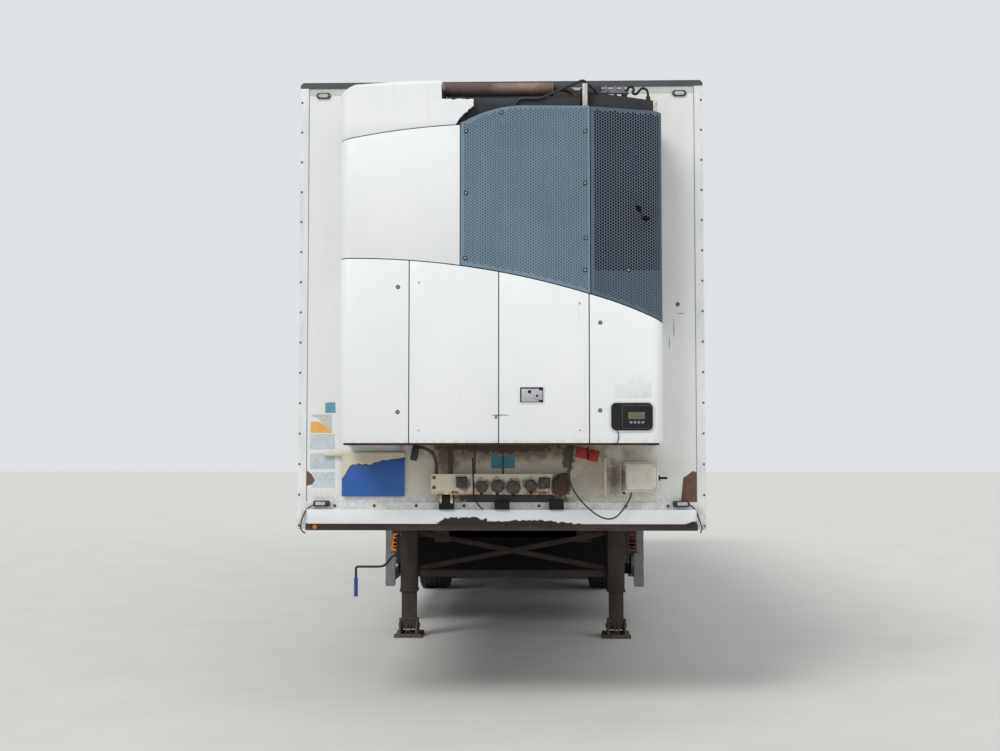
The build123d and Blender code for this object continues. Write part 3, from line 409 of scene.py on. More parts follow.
def head_tree(name, facing, sides, coat):
    """Node tree that sets one bolt, screw or rivet head on each start point."""
    tree, start = begun(name, "NodeSocketFloat", "Head radius", "Head height")
    top = add(tree, "ShaderNodeMath", {"operation": "MULTIPLY"}, {0: start.outputs["Head radius"], 1: 0.72})
    head = add(tree, "GeometryNodeMeshCone", {}, {"Vertices": sides, "Radius Top": top.outputs[0],
        "Radius Bottom": start.outputs["Head radius"], "Depth": start.outputs["Head height"]})
    turn = Vector(facing).to_track_quat("Z", "Y").to_euler()
    placed = add(tree, "GeometryNodeInstanceOnPoints", {}, {"Points": start.outputs["Geometry"],
        "Instance": head.outputs["Mesh"], "Rotation": turn})
    real = add(tree, "GeometryNodeRealizeInstances", {}, {"Geometry": placed.outputs[0]})
    dressed = add(tree, "GeometryNodeSetMaterial", {}, {"Geometry": real.outputs[0],
        "Material": coat["material"]})
    add(tree, "NodeGroupOutput", {}, {0: dressed.outputs[0]})
    return tree


def fixings(name, places, facing, radius, height, sides, coat, slot, body="trailer"):
    """A row of like heads at places on a surface that faces one way."""
    return grown(name, places, head_tree(name, facing, sides, coat),
        {"Head radius": radius, "Head height": height}, slot, body)


rivet_steel = finish("rivet_steel_dull", "6f6e6b", 0.45, (5, 0.4, 0.6, "4b3f36", 0.7), metallic=0.7)
rivet_pitch = 0.195
rivet_count = 15
rail_rivet_pitch, rail_rivet_count = 0.3, 45
both_sides = ((-1, "left"), (1, "right"))
for side, word in both_sides:
    column = [(side * 1.288, nose_y - 0.005, 1.19 + rivet_pitch * i) for i in range(rivet_count)]
    fixings(f"rivets_{word}_post", column, (0, -1, 0), 0.0075, 0.003, 12, rivet_steel, "aluminium")
for side, word in both_sides:
    row = [(side * 1.295, -6.45 + rail_rivet_pitch * i, z) for i in range(rail_rivet_count)
        for z in (3.928, 1.357)]
    fixings(f"rivets_{word}_roof_rail", row, (side, 0, 0), 0.0075, 0.003, 8, rivet_steel, "aluminium")

# sealing seam between post and panel, a grey bead of sealant
sealant = finish("sealant_grey", "9b9c98", 0.7, (30, 0.4, 0.65, "5e5d59", 0.7, (1, 1, 0.2)))


def rod(start, end, radius, sides=16, end_radius=None):
    """Lays a round bar or cone on the bench between two points."""
    start, end = Vector(start), Vector(end)
    turn = (end - start).to_track_quat("Z", "Y").to_matrix().to_4x4()
    place = Matrix.Translation((start + end) / 2) @ turn
    bmesh.ops.create_cone(bench, cap_ends=True, segments=sides, radius1=radius,
        radius2=radius if end_radius is None else end_radius, depth=(end - start).length, matrix=place)


for side in (-1, 1):
    rod((side * 1.2435, nose_y - 0.001, 1.345), (side * 1.2435, nose_y - 0.001, 4.008), 0.0022, 8)
made("sealant_seams", sealant)

# Cooling unit's panels: glass-fibre mouldings with a white gelcoat, hung on a steel frame. Softly
# rounded edges, chalky with age, with fine drips and specks of road dirt and darker dust along the
# lower edge.
unit_face = -7.02
gelcoat = finish("gelcoat_white_chalked", "e2e4e4", 0.36, (520, 0.4, 0.72, "d6d9da", 0.45, (1, 1, 0.5)),
    (45, 0.62, 0.8, "b4b4ae", 0.35, (1, 1, 0.1)), (8, 0.68, 0.75, "8b8780", 0.45))
low_dirt(gelcoat, 1.71, 1.75, 30, 0.44, 0.66, "98938a", 0.4)
blot(gelcoat, (0.01, unit_face, 1.88), (0.06, 0.2, 0.0045), 2.2, 0.3, 14, "4a4a4c", 0.75)
blot(gelcoat, (-0.016, unit_face, 1.868), (0.01, 0.2, 0.012), 1.4, 0.3, 9, "2e2e30", 0.8)
relief(gelcoat, 260, 1.2)


def ramp(value, start, end):
    """From 0 at start to 1 at end."""
    return min(max((value - start) / (end - start), 0), 1)


def broken_fairing():
    """Bends the fairing on the bench: its top edge falls to the left, its broken right edge is ragged."""
    across = [(-0.91 + 0.1 * i, 0, 0) for i in range(5)] + [(-0.352 + 0.012 * i, 0, 0) for i in range(17)]
    upward = [(0, 0, 3.69 + 0.012 * i) for i in range(25)]
    for places, facing in ((across, (1, 0, 0)), (upward, (0, 0, 1))):
        for place in places:
            bmesh.ops.bisect_plane(bench, geom=[*bench.verts, *bench.edges, *bench.faces], plane_co=place,
                plane_no=facing)
    for corner in bench.verts:
        x, z = corner.co.x, corner.co.z
        fall = ramp(x, -0.42, -0.97) ** 1.3 * ramp(z, 3.8, 4.05)
        torn = ramp(x, -0.36, -0.32) * ramp(z, 3.7, 3.73) * ramp(z, 4.03, 4.0)
        corner.co.x += 0.011 * torn * noise.noise((x * 45, 3, z * 45))
        corner.co.z += 0.013 * torn * noise.noise((x * 45, 9, z * 45)) - 0.052 * fall


def softened(node, coat, edge, reshape=None):
    """Stands for a node of the same shape, with its sharp edges rounded."""
    bench.from_mesh(frame["nodes"][node].data)
    bmesh.ops.remove_doubles(bench, verts=bench.verts, dist=0.0001)
    bmesh.ops.dissolve_limit(bench, angle_limit=math.radians(1), verts=bench.verts, edges=bench.edges)
    corners = [e for e in bench.edges if len(e.link_faces) == 2 and e.calc_face_angle(0) > math.radians(50)]
    bmesh.ops.bevel(bench, geom=corners, offset=edge, offset_type="OFFSET", segments=2, profile=0.5,
        affect="EDGES", clamp_overlap=True)
    if reshape:
        reshape()
    body = next(name for name, nodes in frame["record"]["behaviour"]["bodies"].items() if node in nodes)
    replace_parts(made(f"{node}_moulded", coat, body), node)


for node in ("unit_side_panels", "unit_upper_panel", "unit_fairing", "unit_door_left", "unit_door_right"):
    softened(node, gelcoat, 0.0025, broken_fairing if node == "unit_fairing" else None)

# Quarter-turn locks in the upper corners of the service doors and panels: a steel head in a round plastic
# cup. The dark grey of the dark cups is painted shade of the recess round the head.
cup_shade_dark = finish("lock_cup_painted_shade", "2e3134", 0.5, (4, 0.4, 0.6, "1d1f21", 0.7))
lock_steel = finish("lock_head_zinc", "a9abad", 0.4, (5, 0.4, 0.65, "5d5750", 0.6), metallic=0.8)


def cup_screws(name, places, y, ring, ring_coat, body="trailer"):
    """Round cups with a head inside, on the unit's face."""
    for x, z in places:
        rod((x, y - 0.0002, z), (x, y - 0.0022, z), ring, 20, ring * 0.86)
    made(f"{name}_cups", ring_coat, body)
    for x, z in places:
        rod((x, y - 0.0022, z), (x, y - 0.0042, z), ring * 0.52, 12, ring * 0.4)
    made(f"{name}_heads", lock_steel, body)


cup_screws("panel_locks_side", [(-0.614, 2.662), (-0.613, 1.9), (0.616, 2.441), (0.613, 1.909)], unit_face,
    0.013, cup_shade_dark)
cup_screws("door_locks_left", [(-0.486, 2.69), (-0.486, 1.79)], unit_face, 0.01, gelcoat,
    "service_door_left")
cup_screws("door_locks_right", [(0.492, 2.56), (0.492, 1.79)], unit_face, 0.01, gelcoat,
    "service_door_right")

# Recessed latch low in the right service door: a black tray in a white lip, and in it a zinc plate with
# a round finger hole and the lock's barrel.


def slab(x, y, z, edge=0.0, turn=None):
    """Lays a box on the bench between pairs of places, its edges rounded by edge, turned about its middle."""
    corners = bmesh.ops.create_cube(bench, size=1.0)["verts"]
    size = Vector((x[1] - x[0], y[1] - y[0], z[1] - z[0]))
    middle = Vector((sum(x), sum(y), sum(z))) / 2
    for corner in corners:
        corner.co = Vector([c * s for c, s in zip(corner.co, size)])
    if edge:
        edges = {e for corner in corners for e in corner.link_edges}
        corners = bmesh.ops.bevel(bench, geom=list(edges), offset=edge, segments=2, profile=0.5,
            affect="EDGES")["verts"]
    if turn:
        bmesh.ops.rotate(bench, verts=corners, cent=(0, 0, 0), matrix=turn)
    bmesh.ops.translate(bench, verts=corners, vec=middle)


slab((0.121, 0.277), (unit_face - 0.0035, unit_face - 0.0002), (1.95, 2.057), 0.004)
made("door_latch_frame", gelcoat, "service_door_right")
latch_black = finish("latch_black_moulded", "0c0d0e", 0.6, (6, 0.4, 0.65, "1b1c1e", 0.6), specular=0.25)
latch_zinc = finish("latch_plate_zinc", "b5b6b8", 0.5, (14, 0.42, 0.66, "8a8c92", 0.7), metallic=0.3)
slab((0.13, 0.27), (unit_face - 0.0045, unit_face - 0.003), (1.958, 2.049), 0.003)
made("door_latch_tray", latch_black, "service_door_right")
slab((0.138, 0.244), (unit_face - 0.0065, unit_face - 0.0044), (1.961, 2.04), 0.002)
slab((0.243, 0.266), (unit_face - 0.006, unit_face - 0.0044), (1.972, 2.03), 0.002)
rod((0.232, unit_face - 0.0064, 1.996), (0.232, unit_face - 0.012, 1.996), 0.021, 24, 0.0185)
made("door_latch_plate", latch_zinc, "service_door_right")
# the finger hole and the keyhole are black discs: painted shade in the holes
rod((0.187, unit_face - 0.0064, 2.022), (0.187, unit_face - 0.0072, 2.022), 0.0105, 20)
rod((0.232, unit_face - 0.0119, 1.996), (0.232, unit_face - 0.0128, 1.996), 0.0075, 16)
made("door_latch_holes", latch_black, "service_door_right")

# Blank sticker on the right panel: a thin sheet of pale film stuck flat on the gelcoat, with no print
# left, clear and glossy in the middle and gone grey at its rim.
film = finish("sticker_film_blank", "dcdedf", 0.22, (30, 0.45, 0.7, "c9cbcc", 0.7))
slab((0.7, 0.923), (unit_face - 0.0007, unit_face), (1.984, 2.132), 0.0003)
made("sticker_blank", film)

# Controller: a black moulded housing on the right panel with a raised bezel, a grey display and four
# rubber keys.
control_black = finish("controller_black_moulded", "141517", 0.45, (22, 0.42, 0.7, "232324", 0.6),
    (5, 0.66, 0.75, "55514c", 0.4), specular=0.25, bump=(1.6, 0.15))


def about(middle, half):
    """The pair of places half to each side of a middle."""
    return middle - half, middle + half


def around(radius, turn):
    """The two places on a circle at a turn."""
    return radius * math.cos(turn), radius * math.sin(turn)


def rounded(x0, x1, z0, z1, radius):
    """Outline of a rectangle with round corners, seen from the front."""
    outline = []
    for quarter, (x, z) in enumerate(((x1, z1), (x0, z1), (x0, z0), (x1, z0))):
        middle = (x - math.copysign(radius, x - (x0 + x1) / 2), z - math.copysign(radius, z - (z0 + z1) / 2))
        for i in range(7):
            across, up = around(radius, math.pi / 2 * (quarter + i / 6))
            outline.append((middle[0] + across, middle[1] + up))
    return outline


control_low, control_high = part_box("unit_controller")
sheet(rounded(0.667, 0.941, 1.776, 1.966, 0.042), unit_face - 0.0002, unit_face - 0.004)
sheet(rounded(0.671, 0.937, 1.78, 1.962, 0.038), unit_face - 0.0039, unit_face - 0.0062)
lip_white = finish("gelcoat_lip_shaded", "ced2d3", 0.42, (30, 0.42, 0.66, "bfc3c5", 0.6))
made("controller_surround", lip_white)
sheet(rounded(control_low.x, control_high.x, control_low.z, control_high.z, 0.03), control_high.y,
    control_low.y + 0.008)
sheet(rounded(control_low.x + 0.003, control_high.x - 0.003, control_low.z + 0.003, control_high.z - 0.003,
    0.027), control_low.y + 0.0081, control_low.y + 0.0055)
for x in (0.7, 0.724):
    for z in (1.83, 1.866, 1.902):
        slab(about(x, 0.0075), (control_low.y + 0.004, control_low.y + 0.0056), about(z, 0.01), 0.0007)
sheet(rounded(0.7435, 0.9245, 1.796, 1.941, 0.014), control_low.y + 0.0056, control_low.y + 0.002)
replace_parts(made("controller_housing", control_black), "unit_controller")
bezel_grey = finish("controller_edge_worn", "3c3b3e", 0.4, (12, 0.42, 0.66, "5a5a5c", 0.7))
for x0, x1, z0, z1 in ((0.7435, 0.9245, 1.937, 1.941), (0.7435, 0.747, 1.8, 1.937),
        (0.747, 0.921, 1.7965, 1.799)):
    slab((x0, x1), (control_low.y + 0.0014, control_low.y + 0.003), (z0, z1), 0.0005)
made("controller_bezel", bezel_grey)
glass_olive = finish("display_glass_olive", "63654a", 0.15, (60, 0.4, 0.7, "545640", 0.7))
slab((0.781, 0.88), (control_low.y + 0.0006, control_low.y + 0.003), (1.855, 1.898), 0.0006)
made("controller_display", glass_olive)
key_rubber = finish("key_rubber_grey", "85888b", 0.6, (4, 0.4, 0.65, "5c5e60", 0.6))
for x in (0.797, 0.821, 0.845, 0.869):
    slab(about(x, 0.008), (control_low.y + 0.0004, control_low.y + 0.003), (1.829, 1.843), 0.001)
made("controller_keys", key_rubber)

# Grilles of the condenser: blue-grey moulded sheets pressed full of round dimples in upright staggered rows,
# with a plain rim. On the right the upper rows are punched through; a black floor in each hole is painted
# shade for the dark coil behind.
grille_blue = finish("grille_moulded_bluegrey", "6e808e", 0.38, (330, 0.4, 0.7, "5d7280", 0.55),
    (55, 0.58, 0.78, "8b9ba5", 0.35, (1, 1, 0.15)), (9, 0.66, 0.75, "3c4a55", 0.4))
# the right grille's darker blue-grey is the same moulding in shade: painted shade
grille_dark = finish("grille_moulded_bluegrey_shaded", "4a5866", 0.5, (280, 0.4, 0.7, "404d5a", 0.55))
blot(grille_dark, (0.88, unit_face, 3.1), (0.13, 0.3, 0.15), 0.9, 0.8, 60, "453e45", 0.55)
# near-black ragged marks where the right grille is broken: painted shade in the breaks
for centre, reach in (((0.838, unit_face, 3.148), (0.012, 0.3, 0.006)),
        ((0.856, unit_face, 3.133), (0.016, 0.3, 0.007)), ((0.868, unit_face, 3.114), (0.006, 0.3, 0.014)),
        ((0.866, unit_face, 3.074), (0.016, 0.3, 0.006)), ((0.9, unit_face, 3.08), (0.008, 0.3, 0.012))):
    blot(grille_dark, centre, reach, 1.2, 0.4, 8, "0e0f12", 0.95)
# near-black for hole floors, breaks, fan wells and slots: painted shade standing for the dark space behind
# them
hole_shade_black = finish("painted_shade_in_holes", "07090b", 0.8, (120, 0.4, 0.7, "12161a", 0.7), specular=0.1)
dress(grille_dark, "unit_grilles")


def circle_height(points, x):
    """Height at x of the flat circle through three points."""
    (ax, az), (bx, bz), (cx, cz) = points
    d = 2 * (ax * (bz - cz) + bx * (cz - az) + cx * (az - bz))
    a2, b2, c2 = ax * ax + az * az, bx * bx + bz * bz, cx * cx + cz * cz
    ox = (a2 * (bz - cz) + b2 * (cz - az) + c2 * (az - bz)) / d
    oz = (a2 * (cx - bx) + b2 * (ax - cx) + c2 * (bx - ax)) / d
    away = math.sqrt((ax - ox) ** 2 + (az - oz) ** 2 - (x - ox) ** 2)
    return oz - away if bz < oz else oz + away


def low_edge(x):
    """The curved seam under the upper panels."""
    if x < 0.549:
        return circle_height([(-1.01, 2.841), (-0.214, 2.793), (0.549, 2.621)], x)
    return circle_height([(0.549, 2.621), (0.79, 2.54), (1.04, 2.424)], x)


def top_edge(x):
    """The grilles' upper edge."""
    if x < -0.222:
        return 3.674
    if x < 0.193:
        return circle_height([(-0.222, 3.674), (0.008, 3.762), (0.193, 3.777)], x)
    if x < 0.561:
        return 3.777 - (x - 0.193) * 0.014
    return 3.768 - (x - 0.561) * 0.081


corner_x, corner_y, corner_reach = 0.924, unit_face + 0.075, 0.075


def round_corner(point):
    """Wraps a point of the flat sheet round the unit's right front corner."""
    if point.x <= corner_x:
        return point
    reach = corner_reach + unit_face - point.y
    turn = (point.x - corner_x) / (corner_reach + 0.003)
    return Vector((corner_x + reach * math.sin(turn), corner_y - reach * math.cos(turn), point.z))


def dimple_tree(name, sheet_coat, floor_coat):
    """Node tree that sets a six-sided cell on each centre: plain, dimpled or punched through."""
    tree, start = begun(name, "NodeSocketFloat", "Cell pitch", "Hole radius", "Dimple depth", "Hole depth")
    radius = add(tree, "ShaderNodeMath", {"operation": "DIVIDE"}, {0: start.outputs["Cell pitch"],
        1: math.sqrt(3)})
    disc = add(tree, "GeometryNodeMeshCircle", {"fill_type": "NGON"},
        {"Vertices": 12, "Radius": radius.outputs[0]})
    number = add(tree, "GeometryNodeInputIndex")
    odd = add(tree, "ShaderNodeMath", {"operation": "MODULO"}, {0: number.outputs[0], 1: 2.0})
    pull_in = add(tree, "ShaderNodeMath", {"operation": "MULTIPLY_ADD"},
        {0: odd.outputs[0], 1: math.cos(math.pi / 6) - 1, 2: 1.0})
    where = add(tree, "GeometryNodeInputPosition")
    six_sided = add(tree, "ShaderNodeVectorMath", {"operation": "SCALE"},
        {0: where.outputs[0], "Scale": pull_in.outputs[0]})
    cell = add(tree, "GeometryNodeSetPosition", {}, {"Geometry": disc.outputs[0],
        "Position": six_sided.outputs[0]})
    parts = [cell.outputs[0]]
    for depth in ("Dimple depth", "Hole depth"):
        rim = add(tree, "GeometryNodeExtrudeMesh", {"mode": "FACES"},
            {"Mesh": cell.outputs[0], "Offset Scale": 0.0})
        outward = add(tree, "ShaderNodeVectorMath", {"operation": "NORMALIZE"}, {0: where.outputs[0]})
        circle = add(tree, "ShaderNodeVectorMath", {"operation": "SCALE"},
            {0: outward.outputs[0], "Scale": start.outputs["Hole radius"]})
        opened = add(tree, "GeometryNodeSetPosition", {}, {"Geometry": rim.outputs["Mesh"],
            "Selection": rim.outputs["Top"], "Position": circle.outputs[0]})
        down = add(tree, "ShaderNodeMath", {"operation": "MULTIPLY"}, {0: start.outputs[depth], 1: -1.0})
        sunk = add(tree, "GeometryNodeExtrudeMesh", {"mode": "FACES"},
            {"Mesh": opened.outputs[0], "Selection": rim.outputs["Top"], "Offset Scale": down.outputs[0]})
        gather = add(tree, "ShaderNodeVectorMath", {"operation": "MULTIPLY"},
            {0: where.outputs[0], 1: (0.26, 0.26, 1.0) if depth == "Dimple depth" else (1.0, 1.0, 1.0)})
        bowl = add(tree, "GeometryNodeSetPosition", {}, {"Geometry": sunk.outputs["Mesh"],
            "Selection": sunk.outputs["Top"], "Position": gather.outputs[0]})
        floor_mark = add(tree, "GeometryNodeStoreNamedAttribute", {"data_type": "BOOLEAN", "domain": "FACE"},
            {"Geometry": bowl.outputs[0], "Selection": sunk.outputs["Top"], "Name": "see_through",
            "Value": depth == "Hole depth"})
        parts.append(floor_mark.outputs[0])
    kind = add(tree, "GeometryNodeInputNamedAttribute", {"data_type": "INT"}, {"Name": "kind"})
    joined = add(tree, "GeometryNodeJoinGeometry")
    for value, part in enumerate(parts):
        chosen = add(tree, "FunctionNodeCompare", {"data_type": "INT", "operation": "EQUAL"},
            {2: kind.outputs[0], 3: value})
        placed = add(tree, "GeometryNodeInstanceOnPoints", {}, {"Points": start.outputs["Geometry"],
            "Selection": chosen.outputs[0], "Instance": part, "Rotation": (math.pi / 2, 0.0, 0.0)})
        tree.links.new(placed.outputs[0], joined.inputs[0])
    real = add(tree, "GeometryNodeRealizeInstances", {}, {"Geometry": joined.outputs[0]})
    welded = add(tree, "GeometryNodeMergeByDistance", {}, {"Geometry": real.outputs[0], "Distance": 0.0003})
    dressed = add(tree, "GeometryNodeSetMaterial", {}, {"Geometry": welded.outputs[0],
        "Material": sheet_coat["material"]})
    marked = add(tree, "GeometryNodeInputNamedAttribute", {"data_type": "BOOLEAN"}, {"Name": "see_through"})
    floored = add(tree, "GeometryNodeSetMaterial", {}, {"Geometry": dressed.outputs[0],
        "Selection": marked.outputs[0], "Material": floor_coat["material"]})
    add(tree, "NodeGroupOutput", {}, {0: floored.outputs[0]})
    return tree


hole_pitch, dimple_depth, hole_depth = 0.0178, 0.0064, 0.003
row_pitch = hole_pitch * math.sqrt(3) / 2
rim_width, rim_rise, hole_inset = 0.012, 0.0006, 0.02
sheet_thickness, sheet_gap = 0.0092, 0.0008
lowest_hole, punched_above, holes_upward = 2.3, 2.76, 90
# cosines of the slopes of the upper and lower edge
top_slope, low_slope = 0.93, 0.96
grille_table = [
    # name, first and last x of the flat sheet, finish, hole radius, rows punched through
    ("grille_left", -0.232, 0.556, grille_blue, 0.008, False),
    ("grille_right", 0.562, 1.022, grille_dark, 0.0066, True),
]
for name, x0, x1, coat, hole_radius, punched in grille_table:
    centres = []
    kinds = []
    for column in range(int((x1 - x0) / row_pitch) + 1):
        x = x0 + rim_width + column * row_pitch
        real_x = round_corner(Vector((x, unit_face, 0))).x
        for row in range(holes_upward):
            z = lowest_hole + (row + column % 2 / 2) * hole_pitch
            inset = min(x - x0, x1 - x, top_slope * (top_edge(real_x) - z),
                low_slope * (z - low_edge(real_x)))
            if inset > 0.001:
                centres.append((x, unit_face, z))
                kinds.append(0 if inset < hole_inset else 2 if punched and z > punched_above else 1)
    tree = dimple_tree(f"{name}_dimples", coat, hole_shade_black)
    sheet_piece = grown(f"{name}_dimples", centres, tree, {"Cell pitch": hole_pitch,
        "Hole radius": hole_radius, "Dimple depth": dimple_depth, "Hole depth": hole_depth}, "grille",
        kind=kinds)
    shape = bmesh.new()
    shape.from_mesh(sheet_piece.data)
    for corner in shape.verts:
        corner.co.x = min(max(corner.co.x, x0 + sheet_gap), x1 - sheet_gap)
        real_x = round_corner(Vector((corner.co.x, unit_face, 0))).x
        corner.co.z = min(max(corner.co.z, low_edge(real_x) + sheet_gap), top_edge(real_x) - sheet_gap)
    outline = [e for e in shape.edges if len(e.link_faces) == 1]
    back = bmesh.ops.extrude_edge_only(shape, edges=outline)["geom"]
    bmesh.ops.translate(shape, verts=[v for v in back if isinstance(v, bmesh.types.BMVert)],
        vec=(0, sheet_thickness, 0))
    bmesh.ops.holes_fill(shape, edges=[e for e in back if isinstance(e, bmesh.types.BMEdge)])
    for corner in shape.verts:
        corner.co = round_corner(corner.co)
    bmesh.ops.recalc_face_normals(shape, faces=shape.faces)
    shape.to_mesh(sheet_piece.data)
    shape.free()
    sheet_piece.data.set_sharp_from_angle(angle=math.radians(40))

    steps = 28
    rings = {}
    for key, inset in (("outer", 0.0), ("inner", rim_width)):
        left, right = x0 + inset, x1 - inset
        across = [left + (right - left) * i / steps for i in range(steps + 1)]
        real = [round_corner(Vector((x, unit_face, 0))).x for x in across]
        lowest = [low_edge(x) + inset for x in real]
        highest = [top_edge(x) - inset * 1.08 for x in real]
        ends = [(right, lowest[-1] + (highest[-1] - lowest[-1]) * i / steps) for i in range(1, steps)]
        starts = [(left, highest[0] + (lowest[0] - highest[0]) * i / steps) for i in range(1, steps)]
        rings[key] = [*zip(across, lowest), *ends, *list(zip(across, highest))[::-1], *starts]
    levels = {}
    for key, ring in rings.items():
        for depth, rise in (("front", rim_rise), ("back", -sheet_thickness)):
            levels[key, depth] = [bench.verts.new(round_corner(Vector((x, unit_face - rise, z)))) for x,
                z in ring]
    loops = [levels["outer", "back"], levels["outer", "front"], levels["inner", "front"],
        levels["inner", "back"]]
    skinned(loops)
    made(f"{name}_rim", coat)

# black sheets in the grille's breaks: painted shade behind them
for outline in ([(0.838, 3.166), (0.846, 3.15), (0.857, 3.153), (0.866, 3.137), (0.861, 3.119),
        (0.878, 3.094), (0.858, 3.112), (0.853, 3.12), (0.848, 3.106), (0.843, 3.126), (0.832, 3.13),
        (0.84, 3.144)], [(0.866, 3.1), (0.88, 3.089), (0.893, 3.093), (0.905, 3.077), (0.922, 3.08),
        (0.916, 3.067), (0.902, 3.063), (0.893, 3.047), (0.887, 3.066), (0.874, 3.068), (0.873, 3.084)]):
    sheet(outline, unit_face - 0.0001, unit_face - 0.0008)
made("grille_breaks", hole_shade_black)
grille_screws = [(-0.2, 3.621), (-0.2, 3.238), (-0.205, 2.838), (0.014, 3.735), (0.528, 3.616),
    (0.526, 3.295), (0.531, 2.957), (0.525, 2.762), (0.788, 2.761)]
cup_screws("grille_screws", grille_screws, unit_face, 0.014, cup_shade_dark)

# Broken top of the unit, where the fairing has gone on the right: a rusted muffler on its straps, the
# fan shroud and the radiator behind the grilles, all in dark steel with soot and rust.
muffler_rust_and_highlight = finish("muffler_rust_burnt", "61504b", 0.72, (55, 0.38, 0.66, "43322d", 0.7, (0.4, 1, 1)),
    metallic=0.2)
# the pale pink-tan patch along the muffler's top is a painted highlight
blot(muffler_rust_and_highlight, (0.14, -6.77, 3.96), (0.26, 0.2, 0.06), 0.8, 0.9, 60, "a3897f", 0.7)
spots(muffler_rust_and_highlight, (9, 0.58, 0.72, "75503f", 0.5))
relief(muffler_rust_and_highlight, 7, 0.8)
dress(muffler_rust_and_highlight, "unit_muffler")
muffler_axis = (-6.77, 3.943)
for x0, x1, rise in ((-0.348, -0.334, 0.002), (-0.25, -0.22, 0.003), (-0.06, -0.052, 0.0015),
        (0.22, 0.25, 0.003), (0.318, 0.338, 0.002)):
    rod((x0, *muffler_axis), (x1, *muffler_axis), 0.042 + rise, 40)
made("muffler_bands", muffler_rust_and_highlight)


def tube(name, points, radius, coat, sides=3, steps=8):
    """A fixed bent pipe or clipped wire whose line runs smoothly past its points."""
    holder = smooth_line(name, points, radius, sides, steps)
    shown = holder.evaluated_get(bpy.context.evaluated_depsgraph_get())
    bench.from_mesh(bpy.data.meshes.new_from_object(shown))
    bpy.data.objects.remove(holder)
    bmesh.ops.remove_doubles(bench, verts=bench.verts, dist=0.00005)
    return made(name, coat, smooth=50)


pipe_rust = finish("exhaust_pipe_rust", "4a372f", 0.75, (20, 0.4, 0.66, "2c2321", 0.8),
    (6, 0.6, 0.72, "7a4c36", 0.6), metallic=0.3)
tube("exhaust_elbow", [(0.3, -6.77, 3.952), (0.37, -6.77, 3.95), (0.424, -6.77, 3.944), (0.462, -6.77, 3.925),
    (0.479, -6.77, 3.885), (0.48, -6.77, 3.8)], 0.02, pipe_rust, 4)

coil_black = finish("coil_sooty_black_and_painted_shade", "1d2126", 0.75, (90, 0.4, 0.66, "30292a", 0.8),
    (14, 0.6, 0.74, "4f4038", 0.5))
blot(coil_black, (0.02, -6.97, 3.84), (0.2, 0.3, 0.05), 0.8, 0.8, 80, "3b4656", 0.7)
dress(coil_black, "unit_coil")
engine_grey = finish("engine_block_oily", "2a2826", 0.6, (120, 0.4, 0.66, "3d342d", 0.8))
dress(engine_grey, "unit_engine")

# a duct and frame plates, and a wide dark sheet with ribs just in front of the bulkhead that is painted shade
# over the white bulkhead under the broken fairing
slab((0.552, 0.636), (-6.87, -6.76), (3.83, 3.934), 0.004)
slab((0.5, 0.514), (-6.93, -6.6), (3.684, 3.905), 0.002)
slab((-0.345, 0.56), (-6.602, -6.5745), (3.79, 3.984), 0.006)
for x in (-0.2, 0.02, 0.24, 0.46):
    slab(about(x, 0.012), (-6.612, -6.6), (3.8, 3.974), 0.003)
slab((-0.33, -0.19), (-6.9, -6.7), (3.79, 3.826), 0.004)
made("duct_and_shade_sheets", coil_black)
tube("fairing_stay", [(0.08, -6.985, 3.772), (0.108, -6.985, 3.795), (0.122, -6.985, 3.826),
    (0.165, -6.985, 3.83), (0.25, -6.985, 3.826), (0.3, -6.985, 3.847), (0.4, -6.985, 3.892),
    (0.495, -6.985, 3.932), (0.522, -6.985, 3.94), (0.545, -6.975, 3.918), (0.59, -6.95, 3.896),
    (0.605, -6.926, 3.872)], 0.0085, coil_black, 3)
tube("panel_edge_rubber", [(-0.15, -7.006, 3.766), (-0.17, -7.008, 3.758), (-0.196, -7.01, 3.744),
    (-0.214, -7.01, 3.716), (-0.224, -7.01, 3.688), (-0.236, -7.01, 3.664), (-0.262, -7.008, 3.659)], 0.006,
    latch_black, 3)
pipe_frosted = finish("pipes_faded_violet", "716c78", 0.55, (20, 0.42, 0.64, "3f3a45", 0.8), metallic=0.3)
for z, depth, x1 in ((3.928, -6.8, 0.798), (3.91, -6.835, 0.77), (3.894, -6.865, 0.806)):
    rod((0.63, depth, z), (x1, depth, z - 0.004), 0.0085, 14)
for x in (0.668, 0.724, 0.772):
    rod((x, -6.85, 3.868), (x, -6.815, 3.942), 0.011, 12)
made("radiator_pipes", pipe_frosted)
tube("coolant_hose", [(0.788, -6.82, 3.868), (0.797, -6.835, 3.928), (0.824, -6.85, 3.938),
    (0.842, -6.86, 3.912), (0.824, -6.868, 3.89), (0.854, -6.87, 3.876), (0.88, -6.87, 3.918),
    (0.908, -6.87, 3.916), (0.924, -6.875, 3.9), (0.926, -6.88, 3.85)], 0.0075, latch_black,
    3)
rod((0.925, -6.88, 3.825), (0.925, -6.88, 3.862), 0.014, 12)
rod((0.925, -6.9, 3.852), (0.925, -6.855, 3.852), 0.008, 12)
made("filler_neck", pipe_rust)
plate_pale = finish("radiator_side_sheet", "bdbab3", 0.5, (25, 0.42, 0.66, "8a7e72", 0.7), metallic=0.4)
slab((0.951, 0.9765), (-6.9335, -6.9295), (3.69, 3.8225), 0.001)
slab((0.514, 0.544), (-6.9968, -6.9935), (3.7, 3.918), 0.001)
made("radiator_side_sheet", plate_pale)

# Frame of the unit under its panels: square tube and pressed pan, black paint nearly all gone to rust.
frame_rust = finish("unit_frame_rusty_black", "382823", 0.8, (60, 0.42, 0.62, "5b3b2b", 0.8, (0.5, 1, 1)),
    (12, 0.6, 0.72, "8a5a3a", 0.6), bump=(10, 1.0))
dress(frame_rust, "unit_frame")

